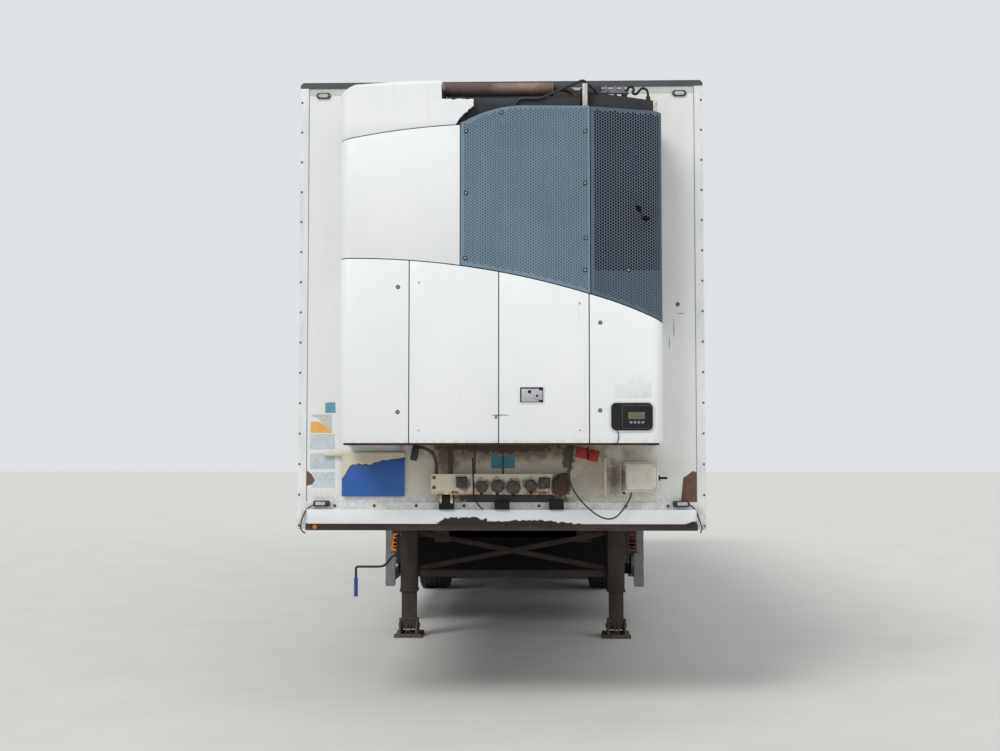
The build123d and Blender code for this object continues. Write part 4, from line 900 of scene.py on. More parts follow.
# Front foot of the box: an aluminium rail with hex bolts, and under it the bumper, a pressed steel
# channel in chipped white enamel that has lost its paint along the middle of its lower edge.
dress(rail_metal, "bottom_rails")
bolt_steel = finish("bolt_steel_rusty", "4b4039", 0.6, (5, 0.4, 0.62, "6b4630", 0.7), metallic=0.5)
fixings("rail_bolts", [(x, -6.582, 1.316) for x in (-1.059, -0.806, -0.538, -0.234, 0.243, 0.793, 1.059)],
    (0, -1, 0), 0.011, 0.007, 6, bolt_steel, "aluminium")
bumper_white = finish("bumper_enamel_chipped", "dcdfe0", 0.38, (190, 0.42, 0.7, "c9ccce", 0.6, (0.4, 1, 1)),
    (10, 0.66, 0.73, "5b4538", 0.8))
for centre, reach, ragged in (((-0.23, -6.63, 1.2), (0.19, 0.2, 0.05), 1.0),
        ((0.05, -6.63, 1.2), (0.46, 0.2, 0.022), 0.8), ((0.18, -6.63, 1.2), (0.26, 0.2, 0.03), 1.0),
        ((1.24, -6.6, 1.19), (0.1, 0.2, 0.03), 1.0)):
    blot(bumper_white, centre, reach, ragged, 0.12, 34, "120d0a", 1.0)
low_dirt(bumper_white, 1.18, 1.206, 26, 0.46, 0.6, "4b382e", 0.9, (0.5, 1, 1))
relief(bumper_white, 180, 1.5)
softened("front_bumper", bumper_white, 0.004)

plate_rust = finish("rub_plate_greased_rust", "43342c", 0.6, (80, 0.42, 0.64, "2f2723", 0.8, (0.4, 1, 1)),
    (11, 0.58, 0.7, "75513c", 0.7), bump=(9, 0.8))
dress(plate_rust, "rub_plate", "kingpin")

# Lamps: oval position lamps high on the corners, marker lamps on the front rail with their leads
# clipped down behind the bumper, one amber reflector, and clusters of three round lamps under the rear
# doors.
lamp_black = finish("lamp_housing_rubber", "202224", 0.55, (8, 0.42, 0.66, "3a3a39", 0.6))
lens_clear = finish("lamp_lens_clear_dusty", "b9bbbb", 0.18, (14, 0.4, 0.66, "8f918f", 0.6))
lens_red = finish("lamp_lens_red", "a01a18", 0.16, (40, 0.4, 0.66, "7c1412", 0.6))
lens_amber = finish("lamp_lens_amber", "d8791c", 0.16, (30, 0.4, 0.66, "b8621a", 0.6))


def oval(centre, width, height, y0, y1, sides=24):
    """Lays a plate with round ends on the bench, seen from the front."""
    reach, radius = (width - height) / 2, height / 2
    outline = []
    for i in range(sides):
        turn = 2 * math.pi * (i + 0.5) / sides
        across, up = around(radius, turn)
        outline.append((centre[0] + math.copysign(reach, across) + across, centre[1] + up))
    sheet(outline, y0, y1)


for side in (-1, 1):
    oval((side * 1.15, 3.965), 0.062, 0.024, nose_y - 0.01, nose_y - 0.0123)
    slab(about(side * 1.146, 0.032), (-6.6225, -6.6175), (1.32, 1.342), 0.004)
made("lamp_lenses_front", lens_clear)
for side in (-1, 1):
    slab(about(side * 0.96, 0.2), (6.92, 6.972), (1.085, 1.2435), 0.01)
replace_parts(made("lamp_clusters_rear", lamp_black), "lamps")
for side in (-1, 1):
    oval((side * 1.15, 3.965), 0.092, 0.038, nose_y - 0.0003, nose_y - 0.01)
    slab(about(side * 1.14, 0.052), (-6.618, -6.5823), (1.311, 1.349), 0.008)
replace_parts(made("lamp_housings_front", lamp_black), "lamps")
fixings("oval_lamp_screws", [(side * 1.15 + step * 0.038, nose_y - 0.01, 3.965) for side in (-1, 1)
    for step in (-1, 1)], (0, -1, 0), 0.0035, 0.002, 10, lock_steel, "lamp")
for name, coat, places in (("tail_lenses_red", lens_red, (0.82, 1.1)),
        ("tail_lenses_amber", lens_amber, (0.96,))):
    for side in (-1, 1):
        for x in places:
            rod((side * x, 6.971, 1.164), (side * x, 6.9765, 1.164), 0.062, 36, 0.054)
            rod((side * x, 6.9765, 1.164), (side * x, 6.9785, 1.164), 0.04, 36, 0.03)
    made(name, coat)
rod((-1.185, -6.584, 1.183), (-1.185, -6.592, 1.183), 0.016, 24, 0.013)
made("amber_reflector", lens_amber)
lead_routes = [
    # side, points across and up in millimetres, from the lamp to behind the bumper's end
    ("left", [(-1190, 1322), (-1232, 1302), (-1250, 1268), (-1267, 1234), (-1277, 1196), (-1277, 1157),
        (-1250, 1140)]),
    ("right", [(1190, 1326), (1224, 1308), (1247, 1253), (1262, 1207), (1276, 1172), (1262, 1145)]),
]
for side, route in lead_routes:
    depths = [-6.6, -6.6, -6.597, -6.59, -6.585, -6.58, -6.56]
    points = [(x / 1000, depths[i], z / 1000) for i, (x, z) in enumerate(route)]
    tube(f"marker_lead_{side}", points, 0.004, cable_rubber, 2)

# Coupling bracket: a folded sheet in cream enamel, rusty along its edges and round its bolts, its right
# end under a thick brown cake of grease.
bracket_cream = finish("bracket_enamel_cream", "d3cbb8", 0.5, (90, 0.42, 0.66, "c0b59c", 0.6))
low_dirt(bracket_cream, 1.394, 1.42, 18, 0.44, 0.58, "8c4a20", 0.85)
for centre, reach in (((-0.418, -6.68, 1.497), (0.016, 0.1, 0.014)),
        ((-0.418, -6.68, 1.434), (0.018, 0.1, 0.016)), ((-0.28, -6.68, 1.405), (0.018, 0.1, 0.014)),
        ((0.2, -6.68, 1.408), (0.045, 0.1, 0.018)), ((0.27, -6.68, 1.402), (0.05, 0.1, 0.016))):
    blot(bracket_cream, centre, reach, 1.1, 0.5, 10, "7a4120", 0.9)
for x in (-0.225, -0.118, -0.017, 0.083, 0.191, 0.278):
    blot(bracket_cream, (x, -6.68, 1.45), (0.06, 0.1, 0.05), 1.6, 0.5, 22, "463c36", 0.8)
blot(bracket_cream, (0.385, -6.68, 1.455), (0.075, 0.2, 0.1), 0.7, 0.2, 30, "4b3427", 0.97)
spots(bracket_cream, (5, 0.64, 0.72, "4f4036", 0.7))
dress(bracket_cream, "coupling_bracket")
fixings("bracket_bolts", [(-0.418, -6.68, 1.497), (-0.418, -6.68, 1.434), (-0.3, -6.68, 1.405),
    (0.33, -6.68, 1.405)], (0, -1, 0), 0.009, 0.006, 6, bolt_steel, "cream_steel")
bmesh.ops.create_icosphere(bench, subdivisions=5, radius=1.0)
for corner in bench.verts:
    away = corner.co.normalized()
    swell = 1 + sum(share * noise.noise(away * rate) for share, rate in ((0.3, 1.7), (0.16, 5.0),
        (0.06, 14.0)))
    corner.co = Vector((0.384 + 0.053 * swell * away.x, -6.681 + 0.019 * swell * away.y,
        1.456 + 0.066 * swell * away.z + 0.01 * away.x))
grease = finish("grease_cake_brown", "35241a", 0.75, (24, 0.42, 0.62, "4b362b", 0.8),
    (6, 0.56, 0.7, "1c130e", 0.8), bump=(8, 1.5))
made("grease_cake", grease, smooth=60)

# Couplings: die-cast heads with spring lids, four round ones and two square covers, grey with dust and
# old grease.
cast_grey = finish("coupling_casting_dusty", "4d4341", 0.66, (26, 0.4, 0.6, "2c2724", 0.85),
    (6, 0.6, 0.72, "8d8376", 0.6), metallic=0.1, bump=(8, 0.8))
bracket_front = -6.68
coupling_places = [
    # x, height, radius, reach, round
    (-0.243, 1.468, 0.034, 0.042, False),
    (-0.118, 1.439, 0.038, 0.056, True),
    (-0.017, 1.442, 0.042, 0.06, True),
    (0.083, 1.435, 0.044, 0.06, True),
    (0.191, 1.447, 0.039, 0.056, True),
    (0.278, 1.463, 0.034, 0.042, False),
]
for x, z, radius, reach, is_round in coupling_places:
    y = bracket_front
    if is_round:
        for start, end, share, end_share in ((0.0, 0.16, 1.0, 1.0), (0.16, 0.6, 0.72, 0.72),
                (0.6, 0.68, 0.72, 0.92), (0.68, 0.88, 0.92, 0.92), (0.88, 0.97, 0.92, 0.7)):
            rod((x, y - start * reach, z), (x, y - end * reach - 0.0002, z), radius * share, 28,
                radius * end_share)
        slab(about(x, 0.007), (y - 0.8 * reach, y - 0.1 * reach), (z + radius * 0.8, z + radius * 1.02),
            0.002)
        slab(about(x, radius * 0.5), (y - reach, y - 0.93 * reach), about(z, 0.008), 0.003)
    else:
        slab(about(x, radius), (y - 0.01, y), about(z, radius), 0.003)
        slab(about(x, radius * 0.84), (y - reach * 0.86, y - 0.008), about(z, radius * 0.8), 0.007)
        slab(about(x, radius * 0.9), (y - reach, y - reach * 0.8), (z - radius * 0.86, z + radius * 0.9),
            0.005)
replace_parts(made("coupling_heads", cast_grey), "couplings")
for x, z, radius, reach, is_round in coupling_places:
    y = bracket_front - 0.5 * reach
    if is_round:
        slab(about(x, 0.009), about(y, 0.012), (z - radius * 1.3, z - radius * 0.74), 0.003)
    else:
        rod((x - radius, y, z + radius * 0.82), (x + radius, y, z + radius * 0.82), 0.007, 12)
made("coupling_levers", latch_black)

# Junction box: a cream moulded case with a pillow-shaped lid, held by two screws and a black toggle at
# its side.
case_cream = finish("case_moulded_cream", "cfcdc0", 0.48, (70, 0.42, 0.66, "bab6a6", 0.7))
blot(case_cream, (0.768, -6.66, 1.5), (0.028, 0.2, 0.13), 0.9, 0.7, 22, "54402f", 0.9)
spots(case_cream, (8, 0.62, 0.73, "7a6b58", 0.6))
softened("junction_box", case_cream, 0.006)
slab((0.781, 0.979), (-6.7, -6.686), (1.419, 1.586), 0.01)
made("junction_box_lid", case_cream)
slab((0.99, 1.004), (-6.665, -6.64), (1.478, 1.51), 0.003)
slab((1.002, 1.05), (-6.66, -6.646), (1.487, 1.501), 0.004)
slab((0.77, 0.784), (-6.68, -6.6), (1.392, 1.408), 0.004)
made("junction_box_toggle", latch_black)
fixings("junction_box_screws", [(0.793, -6.7, 1.572), (0.967, -6.7, 1.572), (0.793, -6.7, 1.433),
    (0.967, -6.7, 1.433)], (0, -1, 0), 0.0045, 0.003, 12, lock_steel, "cream_steel")

# Blank sign plate: blue film on a steel sheet, peeled to cream and rust along its torn top edge. Two
# strips behind it and a cream rail above hold it to the bulkhead.
sign_blue = finish("sign_film_blue_blank", "1f56a2", 0.4, (120, 0.42, 0.68, "2a5f9f", 0.5),
    (7, 0.66, 0.74, "8f9fb4", 0.6))
slab((-1.013, -0.612), (-6.5925, -6.5895), (1.375, 1.626), 0.001)
for x in (-0.98, -0.645):
    slab(about(x, 0.015), (-6.59, -6.5702), (1.4, 1.6), 0.001)
made("sign_plate_blank", sign_blue)
torn_edge = [(-1.013, 1.484), (-0.992, 1.516), (-0.976, 1.545), (-0.962, 1.568), (-0.944, 1.58),
    (-0.926, 1.576), (-0.908, 1.586), (-0.884, 1.577), (-0.862, 1.584), (-0.84, 1.576), (-0.822, 1.58),
    (-0.804, 1.592), (-0.78, 1.594), (-0.756, 1.606), (-0.724, 1.606), (-0.69, 1.614), (-0.652, 1.616),
    (-0.612, 1.624)]
sheet([*torn_edge, (-0.612, 1.634), (-1.013, 1.634)], -6.5925, -6.595)
made("sign_torn_backing", bracket_cream)
sheet([*[(x, z - 0.006) for x, z in torn_edge], (-0.612, 1.63), (-1.013, 1.63)], -6.5925, -6.5932)
made("sign_torn_rust", bolt_steel)
slab((-1.129, -0.609), (-6.596, -6.5702), (1.633, 1.657), 0.004)
slab((0.654, 0.675), (-6.58, -6.5702), (1.379, 1.625), 0.002)
for x in (-0.377, -0.308):
    slab(about(x, 0.0075), (-6.664, -6.65), (1.334, 1.393), 0.001)
made("cream_rails", bracket_cream)

# Small things round the bracket: rubber blocks on the rail, pipes and clipped hoses, and a faded red
# plastic cover that has come off and hangs by the unit's base.
pipe_dark = finish("front_pipes_dusty", "54473c", 0.6, (22, 0.42, 0.64, "2f2824", 0.8, (1, 1, 0.4)),
    metallic=0.3)
dress(pipe_dark, "front_lines")
for x0, x1, z1 in ((-0.389, -0.296, 1.389), (-0.037, 0.056, 1.35), (0.306, 0.399, 1.355)):
    slab((x0, x1), (-6.65, -6.5823), (1.2945, z1), 0.005)
made("rubber_blocks", latch_black)
slab((-0.556, -0.512), (-6.745, -6.715), (1.603, 1.7), 0.008, Matrix.Rotation(math.radians(12), 3, "Y"))
made("drain_stub", lamp_black)
tube("drain_hose", [(-0.52, -6.72, 1.69), (-0.47, -6.7, 1.68), (-0.425, -6.68, 1.655), (-0.405, -6.66, 1.6),
    (-0.405, -6.65, 1.54), (-0.405, -6.64, 1.5192)], 0.01, pipe_dark, 3)
tube("bracket_cable", [(-0.178, -6.59, 1.62), (-0.176, -6.64, 1.585), (-0.173, -6.688, 1.55),
    (-0.171, -6.69, 1.5), (-0.168, -6.69, 1.42), (-0.165, -6.69, 1.365), (-0.148, -6.68, 1.338),
    (-0.122, -6.66, 1.304), (-0.112, -6.6, 1.293)], 0.0042, latch_black, 3)
tube("controller_lead", [(0.716, -7.029, 1.792), (0.718, -7.03, 1.78), (0.724, -7.0265, 1.76),
    (0.722, -7.025, 1.738), (0.716, -7.025, 1.716), (0.712, -7.018, 1.704), (0.708, -6.99, 1.702),
    (0.706, -6.96, 1.712)], 0.0026, cable_rubber, 2)
red_plastic = finish("cover_plastic_faded_red", "9a2212", 0.6, (34, 0.42, 0.66, "7c1e12", 0.7),
    (8, 0.62, 0.72, "5f3a30", 0.6))
slab((0.472, 0.547), (-6.728, -6.7), (1.618, 1.688), 0.006, Matrix.Rotation(math.radians(9), 3, "Y"))
slab((0.551, 0.618), (-6.722, -6.704), (1.6, 1.672), 0.006, Matrix.Rotation(math.radians(11), 3, "Y"))
made("red_cover", red_plastic)
slab((0.545, 0.5525), (-6.731, -6.701), (1.606, 1.692), 0.002)
made("red_cover_strap", latch_black)

# Landing legs: square steel tubes with a ram and a swivelling foot in each, joined by a cross bar and
# an X brace, in dark primer. Stones and water have worn them to a dusty, rusty brown, most of all near
# the ground.
leg_paint = finish("leg_primer_dusty", "2b2320", 0.7, (90, 0.42, 0.64, "40342e", 0.8, (1, 1, 0.4)),
    (9, 0.6, 0.72, "5d4232", 0.6))
low_dirt(leg_paint, 0.0, 0.3, 30, 0.38, 0.6, "6a5848", 0.7)
relief(leg_paint, 9, 0.6)
leg_x, leg_y = 0.93, -2.95
softened("landing_legs", leg_paint, 0.007)
softened("leg_feet", leg_paint, 0.003)
leg_bolts = []
for side in (-1, 1):
    x = side * leg_x
    slab(about(x, 0.081), about(leg_y, 0.081), (0.4, 0.428), 0.006)
    slab((x + side * 0.1, x + side * 0.112), about(leg_y, 0.068), (0.652, 0.908), 0.004)
    rod((x + side * 0.106, leg_y, 0.725), (x + side * 0.122, leg_y, 0.725), 0.03, 24)
    for edge in (-1, 1):
        cheek = x + edge * 0.0737
        rod((cheek, leg_y - 0.136, 0.018), (cheek, leg_y - 0.056, 0.156), 0.01, 12)
        rod((x + edge * 0.02, leg_y - 0.11, 0.022), (x + edge * 0.012, leg_y - 0.07, 0.12), 0.006, 10)
        slab(about(x, 0.124), about(leg_y + edge * 0.14, 0.0045), (0.004, 0.036), 0.003)
    rod((x - 0.086, leg_y - 0.06, 0.156), (x + 0.086, leg_y - 0.06, 0.156), 0.009, 12)
    rod((x - 0.02, leg_y - 0.112, 0.06), (x + 0.02, leg_y - 0.112, 0.06), 0.006, 10)
    leg_bolts += [(x + side * 0.112, leg_y + step, z) for step in (-0.052, 0.052)
        for z in (0.672, 0.78, 0.888)]
made("leg_fittings", leg_paint)
for side, word in both_sides:
    fixings(f"gearbox_bolts_{word}", [place for place in leg_bolts if place[0] * side > 0], (side, 0, 0),
        0.01, 0.007, 6, bolt_steel, "chassis_steel")
brace_bolts = [(side * reach, leg_y - 0.016, z) for side in (-1, 1) for reach,
    z in ((0.82, 0.617), (0.82, 0.914))]
fixings("brace_bolts", brace_bolts, (0, -1, 0), 0.012, 0.009, 6, bolt_steel, "chassis_steel")


def turned(centre, profile, sides=48, axis="Z"):
    """Lays a closed ring or drum on the bench, turned about an axis, from pairs of radius and place."""
    rows = []
    for radius, place in profile:
        row = []
        for i in range(sides):
            a, b = around(radius, math.tau * i / sides)
            spot = {"X": (place, a, b), "Y": (a, place, -b), "Z": (a, b, place)}[axis]
            row.append(bench.verts.new(Vector(spot) + Vector(centre)))
        rows.append(row)
    skinned(rows)


# Crank: a black steel rod bent twice and folded out from the left leg's gearbox, with a ribbed blue
# plastic grip.
crank_black = finish("crank_rod_black", "1f2227", 0.5, (18, 0.42, 0.66, "3a3534", 0.7), metallic=0.2)
crank_route = [
    # x, y, z in metres
    (-1.0366, leg_y, 0.725), (-1.07, leg_y, 0.725), (-1.1, leg_y, 0.7), (-1.145, leg_y, 0.636),
    (-1.185, leg_y, 0.618), (-1.3, leg_y, 0.618), (-1.372, leg_y, 0.618), (-1.416, leg_y, 0.618),
    (-1.416, leg_y, 0.574), (-1.416, leg_y, 0.5),
]
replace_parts(tube("crank_rod", crank_route, 0.0108, crank_black, 4, 10), "crank_handle")
grip_blue = finish("grip_plastic_blue", "24549a", 0.4, (16, 0.42, 0.66, "1d447c", 0.6))
grip_profile = [(0.0112, 0.3505), (0.0168, 0.3515)]
for i in range(11):
    low = 0.356 + 0.0145 * i
    grip_profile += [(0.018, low), (0.018, low + 0.0105), (0.0168, low + 0.012), (0.0168, low + 0.0135)]
turned((-1.416, leg_y, 0.0), grip_profile + [(0.016, 0.521), (0.01, 0.5215)], 24)
made("crank_grip", grip_blue)

# Chassis: two welded I-beams with cross members and outriggers, under dark primer that road dust has
# greyed. Air pipes and a cable run along the left beam's web in clips.
chassis_paint = finish("chassis_primer_dusty", "221d1b", 0.68, (140, 0.42, 0.64, "383029", 0.8),
    (10, 0.62, 0.74, "5d4435", 0.6), bump=(10, 0.6))
dress(chassis_paint, "chassis", "axles", "trailing_arms", "rear_underrun", "chock_holders")
pipe_black = finish("air_pipe_nylon_black", "191a1b", 0.45, (40, 0.42, 0.66, "34302c", 0.7))
for number, z in enumerate((1.06, 1.08, 1.1), start=1):
    tube(f"chassis_pipe_{number}", [(-0.638, -3.3, z), (-0.638, -2.0, z), (-0.638, 2.0, z), (-0.638, 6.6, z)],
        0.007, pipe_black, 2, 4)
for i in range(16):
    slab((-0.646, -0.629), (-3.1 + 0.62 * i, -3.07 + 0.62 * i), (1.046, 1.114), 0.002)
made("pipe_clips", pipe_black)

# Side guards: rolled aluminium rails on folded posts, dull grey, with three grooves in each rail and
# black end caps.
guard_alu = finish("guard_aluminium_dull", "7d7e81", 0.5, (120, 0.42, 0.66, "69696b", 0.7),
    (10, 0.62, 0.73, "504b46", 0.5), metallic=0.3)
dress(guard_alu, "side_guards")
guard_low, guard_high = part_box("side_guards")
rail_feet = (0.356, 0.596, 0.836)
for side in (-1, 1):
    for foot in rail_feet:
        for shift in (0.022, 0.06, 0.098):
            slab(about(side * 1.2465, 0.0025), (guard_low.y + 0.012, guard_high.y - 0.006),
                about(foot + shift, 0.01), 0.0015)
made("guard_ribs", guard_alu)
for side in (-1, 1):
    for foot in rail_feet:
        slab(about(side * 1.231, 0.019), (guard_high.y - 0.003, guard_high.y + 0.012),
            (foot - 0.003, foot + 0.123), 0.004)
made("guard_end_caps", pipe_black)
for side, word in both_sides:
    fixings(f"guard_bolts_{word}", [(side * 1.2462, y, foot + 0.041) for y in (-2.04, -1.13, -0.08, 0.704)
        for foot in rail_feet], (side, 0, 0), 0.009, 0.006, 6, bolt_steel, "guard")

# Wheel chocks: moulded wedges, open between two cheeks, with rungs across the curved slope that grips the
# tyre. The left one is orange; the right one is the same orange chock, given a dark red-brown that is painted
# shade, and a band holds each in its bracket.
chock_low, chock_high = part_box("wheel_chocks")
# for the right chock both colours are the orange darkened by painted shade
for word, side, colour, faded in (("left", -1, "e2831c", "b9641a"), ("right", 1, "63291f", "452019")):
    chock_plastic = finish(f"chock_moulded_{word}", colour, 0.5, (40, 0.42, 0.66, faded, 0.7),
        (7, 0.62, 0.73, "4b3a2c", 0.6))
    middle, foot, crown = side * 1.11, chock_low.z, chock_high.z
    slope = []
    for i in range(13):
        share = i / 12
        sag = 0.02 * math.sin(math.pi * share)
        slope.append((chock_high.y - 0.02 - 0.165 * share, crown - 0.138 * share - sag))
    for edge in (-1, 1):
        cheek = middle + edge * 0.044
        outline = [(chock_high.y, foot), (chock_high.y, crown), *slope, (chock_low.y, foot + 0.02),
            (chock_low.y, foot)]
        near, far = [[bench.verts.new((x, y, z)) for y, z in outline] for x in about(cheek, 0.006)]
        bench.faces.new(near)
        bench.faces.new(far[::-1])
        skinned([near, far], closed=False)
    slab(about(middle, 0.045), (chock_high.y - 0.026, chock_high.y - 0.001), (crown - 0.024, crown - 0.0005),
        0.004)
    slab(about(middle, 0.045), (chock_low.y + 0.001, chock_low.y + 0.026), (foot + 0.001, foot + 0.02), 0.003)
    slab(about(middle, 0.045), (chock_high.y - 0.008, chock_high.y - 0.001), (foot, foot + 0.05), 0.001)
    for i in (2, 5, 8, 11):
        y, z = slope[i]
        slab(about(middle, 0.045), about(y, 0.01), (z - 0.012, z + 0.001), 0.003)
    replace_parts(made(f"wheel_chock_{word}", chock_plastic, smooth=30), "wheel_chocks")
    for x0, x1, z0, z1 in ((-0.055, 0.055, 0.1005, 0.1035), (-0.055, -0.052, -0.006, 0.1035),
            (0.052, 0.055, -0.006, 0.1035)):
        slab((middle + x0, middle + x1), (chock_high.y - 0.075, chock_high.y - 0.05), (foot + z0, foot + z1),
            0.001)
    made(f"chock_band_{word}", bolt_steel)

# Pallet box and fuel tank: a welded box, its near-black painted shade under the body, closed by lattice gates
# at both sides, and a tank of aluminium sheet under two straps with a black cap. The air tanks across the
# beams are painted black.
underbody_black_and_shade = finish("pallet_box_black_and_painted_shade", "0b0b0c", 0.7, (160, 0.42, 0.66, "171513", 0.8),
    (12, 0.62, 0.73, "3b352f", 0.4), specular=0.2)
dress(underbody_black_and_shade, "pallet_box")
pallet_low, pallet_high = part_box("pallet_box")
for side in (-1, 1):
    outer = side * 1.13
    for y in (pallet_low.y + 0.003, pallet_high.y - 0.033):
        slab(about(outer, 0.008), (y, y + 0.03), (0.474, 0.816), 0.002)
    for i in range(6):
        y = pallet_low.y + 0.14 + 0.214 * i
        slab(about(outer, 0.003), about(y, 0.012), (0.504, 0.786), 0.002)
    for z in (0.58, 0.7):
        slab(about(outer, 0.005), (pallet_low.y + 0.03, pallet_high.y - 0.03), about(z, 0.014), 0.002)
made("pallet_box_gates", underbody_black_and_shade)
tank_sheet = finish("tank_sheet_aluminium", "8f9194", 0.38, (180, 0.42, 0.66, "7c7d80", 0.7),
    (10, 0.64, 0.74, "57524c", 0.5), metallic=0.6)
dress(tank_sheet, "tanks")
tank_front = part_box("tanks")[0].y
for y in (tank_front + 0.15, tank_front + 0.6):
    loops = []
    for reach, depth in ((0.0, -0.02), (0.0035, -0.02), (0.0035, 0.02), (0.0, 0.02)):
        outline = rounded(-1.13 - reach, -0.75 + reach, 0.57 - reach, 1.03 + reach, 0.09 + reach)
        loops.append([bench.verts.new((x, y + depth, z)) for x, z in outline])
    skinned(loops)
made("tank_straps", bolt_steel)
turned((0.0, tank_front + 0.375, 0.88), [(0.004, -1.129), (0.05, -1.129), (0.05, -1.14), (0.044, -1.146),
    (0.04, -1.16), (0.034, -1.164), (0.004, -1.164)], 36, "X")
slab((-1.172, -1.162), (tank_front + 0.345, tank_front + 0.405), (0.872, 0.888), 0.003)
made("tank_filler_cap", lamp_black)
for y in (tank_front + 0.2, tank_front + 0.53):
    turned((0.0, y, 0.98), [(0.124, -0.636), (0.1275, -0.628), (0.1275, -0.3), (0.13, -0.298), (0.13, -0.262),
        (0.1275, -0.26), (0.1275, 0.26), (0.13, 0.262), (0.13, 0.298), (0.1275, 0.3), (0.1275, 0.628),
        (0.124, 0.636)], 40, "X")
made("air_tank_shells", underbody_black_and_shade)

# Axles and suspension: square beams with brake chambers clamped behind them, arms on pivot bolts held
# by U-bolts, shock absorbers, and a rubber bellows rolled over its piston on each arm.
axle_places = [1.38, 2.69, 4.0]
for y in axle_places:
    for side in (-1, 1):
        turned((side * 0.47, y + 0.124, 0.596), [(0.01, -0.079), (0.06, -0.079), (0.083, -0.064),
            (0.0845, -0.012), (0.09, -0.01), (0.09, 0.01), (0.0845, 0.012), (0.083, 0.064), (0.06, 0.079),
            (0.01, 0.079)], 32, "X")
        rod((side * 0.584, y - 0.5, 0.652), (side * 0.716, y - 0.5, 0.652), 0.02, 6)
        for place in about(y, 0.074):
            for edge in (-0.052, 0.052):
                rod((side * 0.65 + edge, place, 0.455), (side * 0.65 + edge, place, 0.672), 0.008, 10)
        slab(about(side * 0.65, 0.064), about(y, 0.088), (0.46, 0.4715), 0.003)
        rod((side * 0.56, y - 0.02, 0.606), (side * 0.566, y - 0.15, 0.7), 0.024, 20)
        rod((side * 0.566, y - 0.145, 0.696), (side * 0.572, y - 0.3, 0.812), 0.031, 20)
        slab(about(side * 0.56, 0.024), (y - 0.33, y - 0.27), (0.795, 0.824), 0.004)
made("brake_and_arm_fittings", chassis_paint)
bellows_rubber = finish("bellows_rubber_dusty", "1f1f20", 0.7, (60, 0.42, 0.66, "3a3733", 0.7))
springs_low, springs_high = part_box("air_springs")
low, high = springs_low.z, springs_high.z
spring_profile = [(0.01, low), (0.08, low), (0.086, low + 0.01), (0.082, low + 0.092), (0.1, low + 0.08),
    (0.122, low + 0.079), (0.137, low + 0.094), (0.1405, low + 0.118), (0.137, low + 0.148),
    (0.132, low + 0.172), (0.136, high - 0.06), (0.139, high - 0.04), (0.132, high - 0.018),
    (0.134, high - 0.01), (0.134, high), (0.01, high)]
for y in axle_places:
    for side in (-1, 1):
        turned((side * 0.65, y + 0.38, 0.0), spring_profile, 40)
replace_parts(made("air_spring_bellows", bellows_rubber, smooth=40), "air_springs")

# Mudguards: half-round black plastic over each wheel with rolled edges, on round stays, and a rubber
# flap behind the last pair.
guard_black = finish("mudguard_moulded_black", "1b1c1c", 0.62, (110, 0.42, 0.66, "35322d", 0.8),
    (8, 0.6, 0.72, "57504a", 0.5))
wheel_x, wheel_radius = 1.02, 0.536
arch_section = ((-0.212, 0.5945), (0.212, 0.5945), (0.212, 0.5985), (-0.212, 0.5985))
arch_turns = [math.radians(22 + 136 * i / 36) for i in range(37)]
for y in axle_places:
    for side in (-1, 1):
        hub = Vector((side * wheel_x, y, wheel_radius))
        rows = []
        for turn in arch_turns:
            corners = [(across, *around(radius, turn)) for across, radius in arch_section]
            rows.append([bench.verts.new(hub + Vector(corner)) for corner in corners])
        skinned(rows, closed=False)
        bench.faces.new(rows[0])
        bench.faces.new(rows[-1])
        rod((side * 0.6545, y, 1.146), (side * 1.232, y, 1.146), 0.0155, 20)
        slab(about(side * wheel_x, 0.05), about(y, 0.022), (1.1285, 1.15), 0.003)
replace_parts(made("mudguard_arches", guard_black, smooth=40), "mudguards")
for side in (-1, 1):
    slab(about(side * wheel_x, 0.195), (4.5425, 4.5505), (0.33, 0.79), 0.003)
    for rib in range(7):
        x = side * wheel_x - 0.165 + 0.055 * rib
        slab(about(x, 0.004), (4.55, 4.5545), (0.345, 0.73), 0.001)
made("mud_flaps", bellows_rubber)

# Tyres: 385/65 R22.5 casings with ribs between straight grooves, slit shoulders and ringed side walls,
# worn and dusty.
tyre_rubber = finish("tyre_rubber_worn", "1c1c1d", 0.8, (120, 0.42, 0.66, "2d2b29", 0.8),
    (9, 0.6, 0.72, "47433d", 0.5), bump=(3, 0.4))
tyre_profile = [
    # radius and place across the tyre, from the middle of the tread outwards, in metres
    (0.536, 0.022), (0.524, 0.024), (0.524, 0.032), (0.536, 0.034), (0.5358, 0.078), (0.523, 0.08),
    (0.523, 0.089), (0.5352, 0.091), (0.5335, 0.14), (0.53, 0.158), (0.519, 0.168), (0.5, 0.1735),
    (0.498, 0.1765), (0.47, 0.182), (0.44, 0.1875), (0.436, 0.1905), (0.411, 0.192), (0.385, 0.1905),
    (0.381, 0.187), (0.35, 0.178), (0.322, 0.164), (0.316, 0.1625), (0.3, 0.152), (0.2862, 0.142),
]
pad_count = 90


def bar_tree(name, coat):
    """Node tree that sets one square bar on each start point, turned across by the point's own turn."""
    tree, start = begun(name, "NodeSocketVector", "Bar size")
    pad = add(tree, "GeometryNodeMeshCube", {}, {"Size": start.outputs["Bar size"]})
    turn = add(tree, "GeometryNodeInputNamedAttribute", {"data_type": "FLOAT"}, {"Name": "turn"})
    spin = add(tree, "ShaderNodeCombineXYZ", {}, {"X": turn.outputs[0]})
    placed = add(tree, "GeometryNodeInstanceOnPoints", {}, {"Points": start.outputs["Geometry"],
        "Instance": pad.outputs[0], "Rotation": spin.outputs[0]})
    real = add(tree, "GeometryNodeRealizeInstances", {}, {"Geometry": placed.outputs[0]})
    dressed = add(tree, "GeometryNodeSetMaterial", {}, {"Geometry": real.outputs[0],
        "Material": coat["material"]})
    add(tree, "NodeGroupOutput", {}, {0: dressed.outputs[0]})
    return tree


# Rims: a rolled barrel with a pressed dish, ten hand holes round it, ten nuts, the hub with its cap,
# and the brake drum inside.

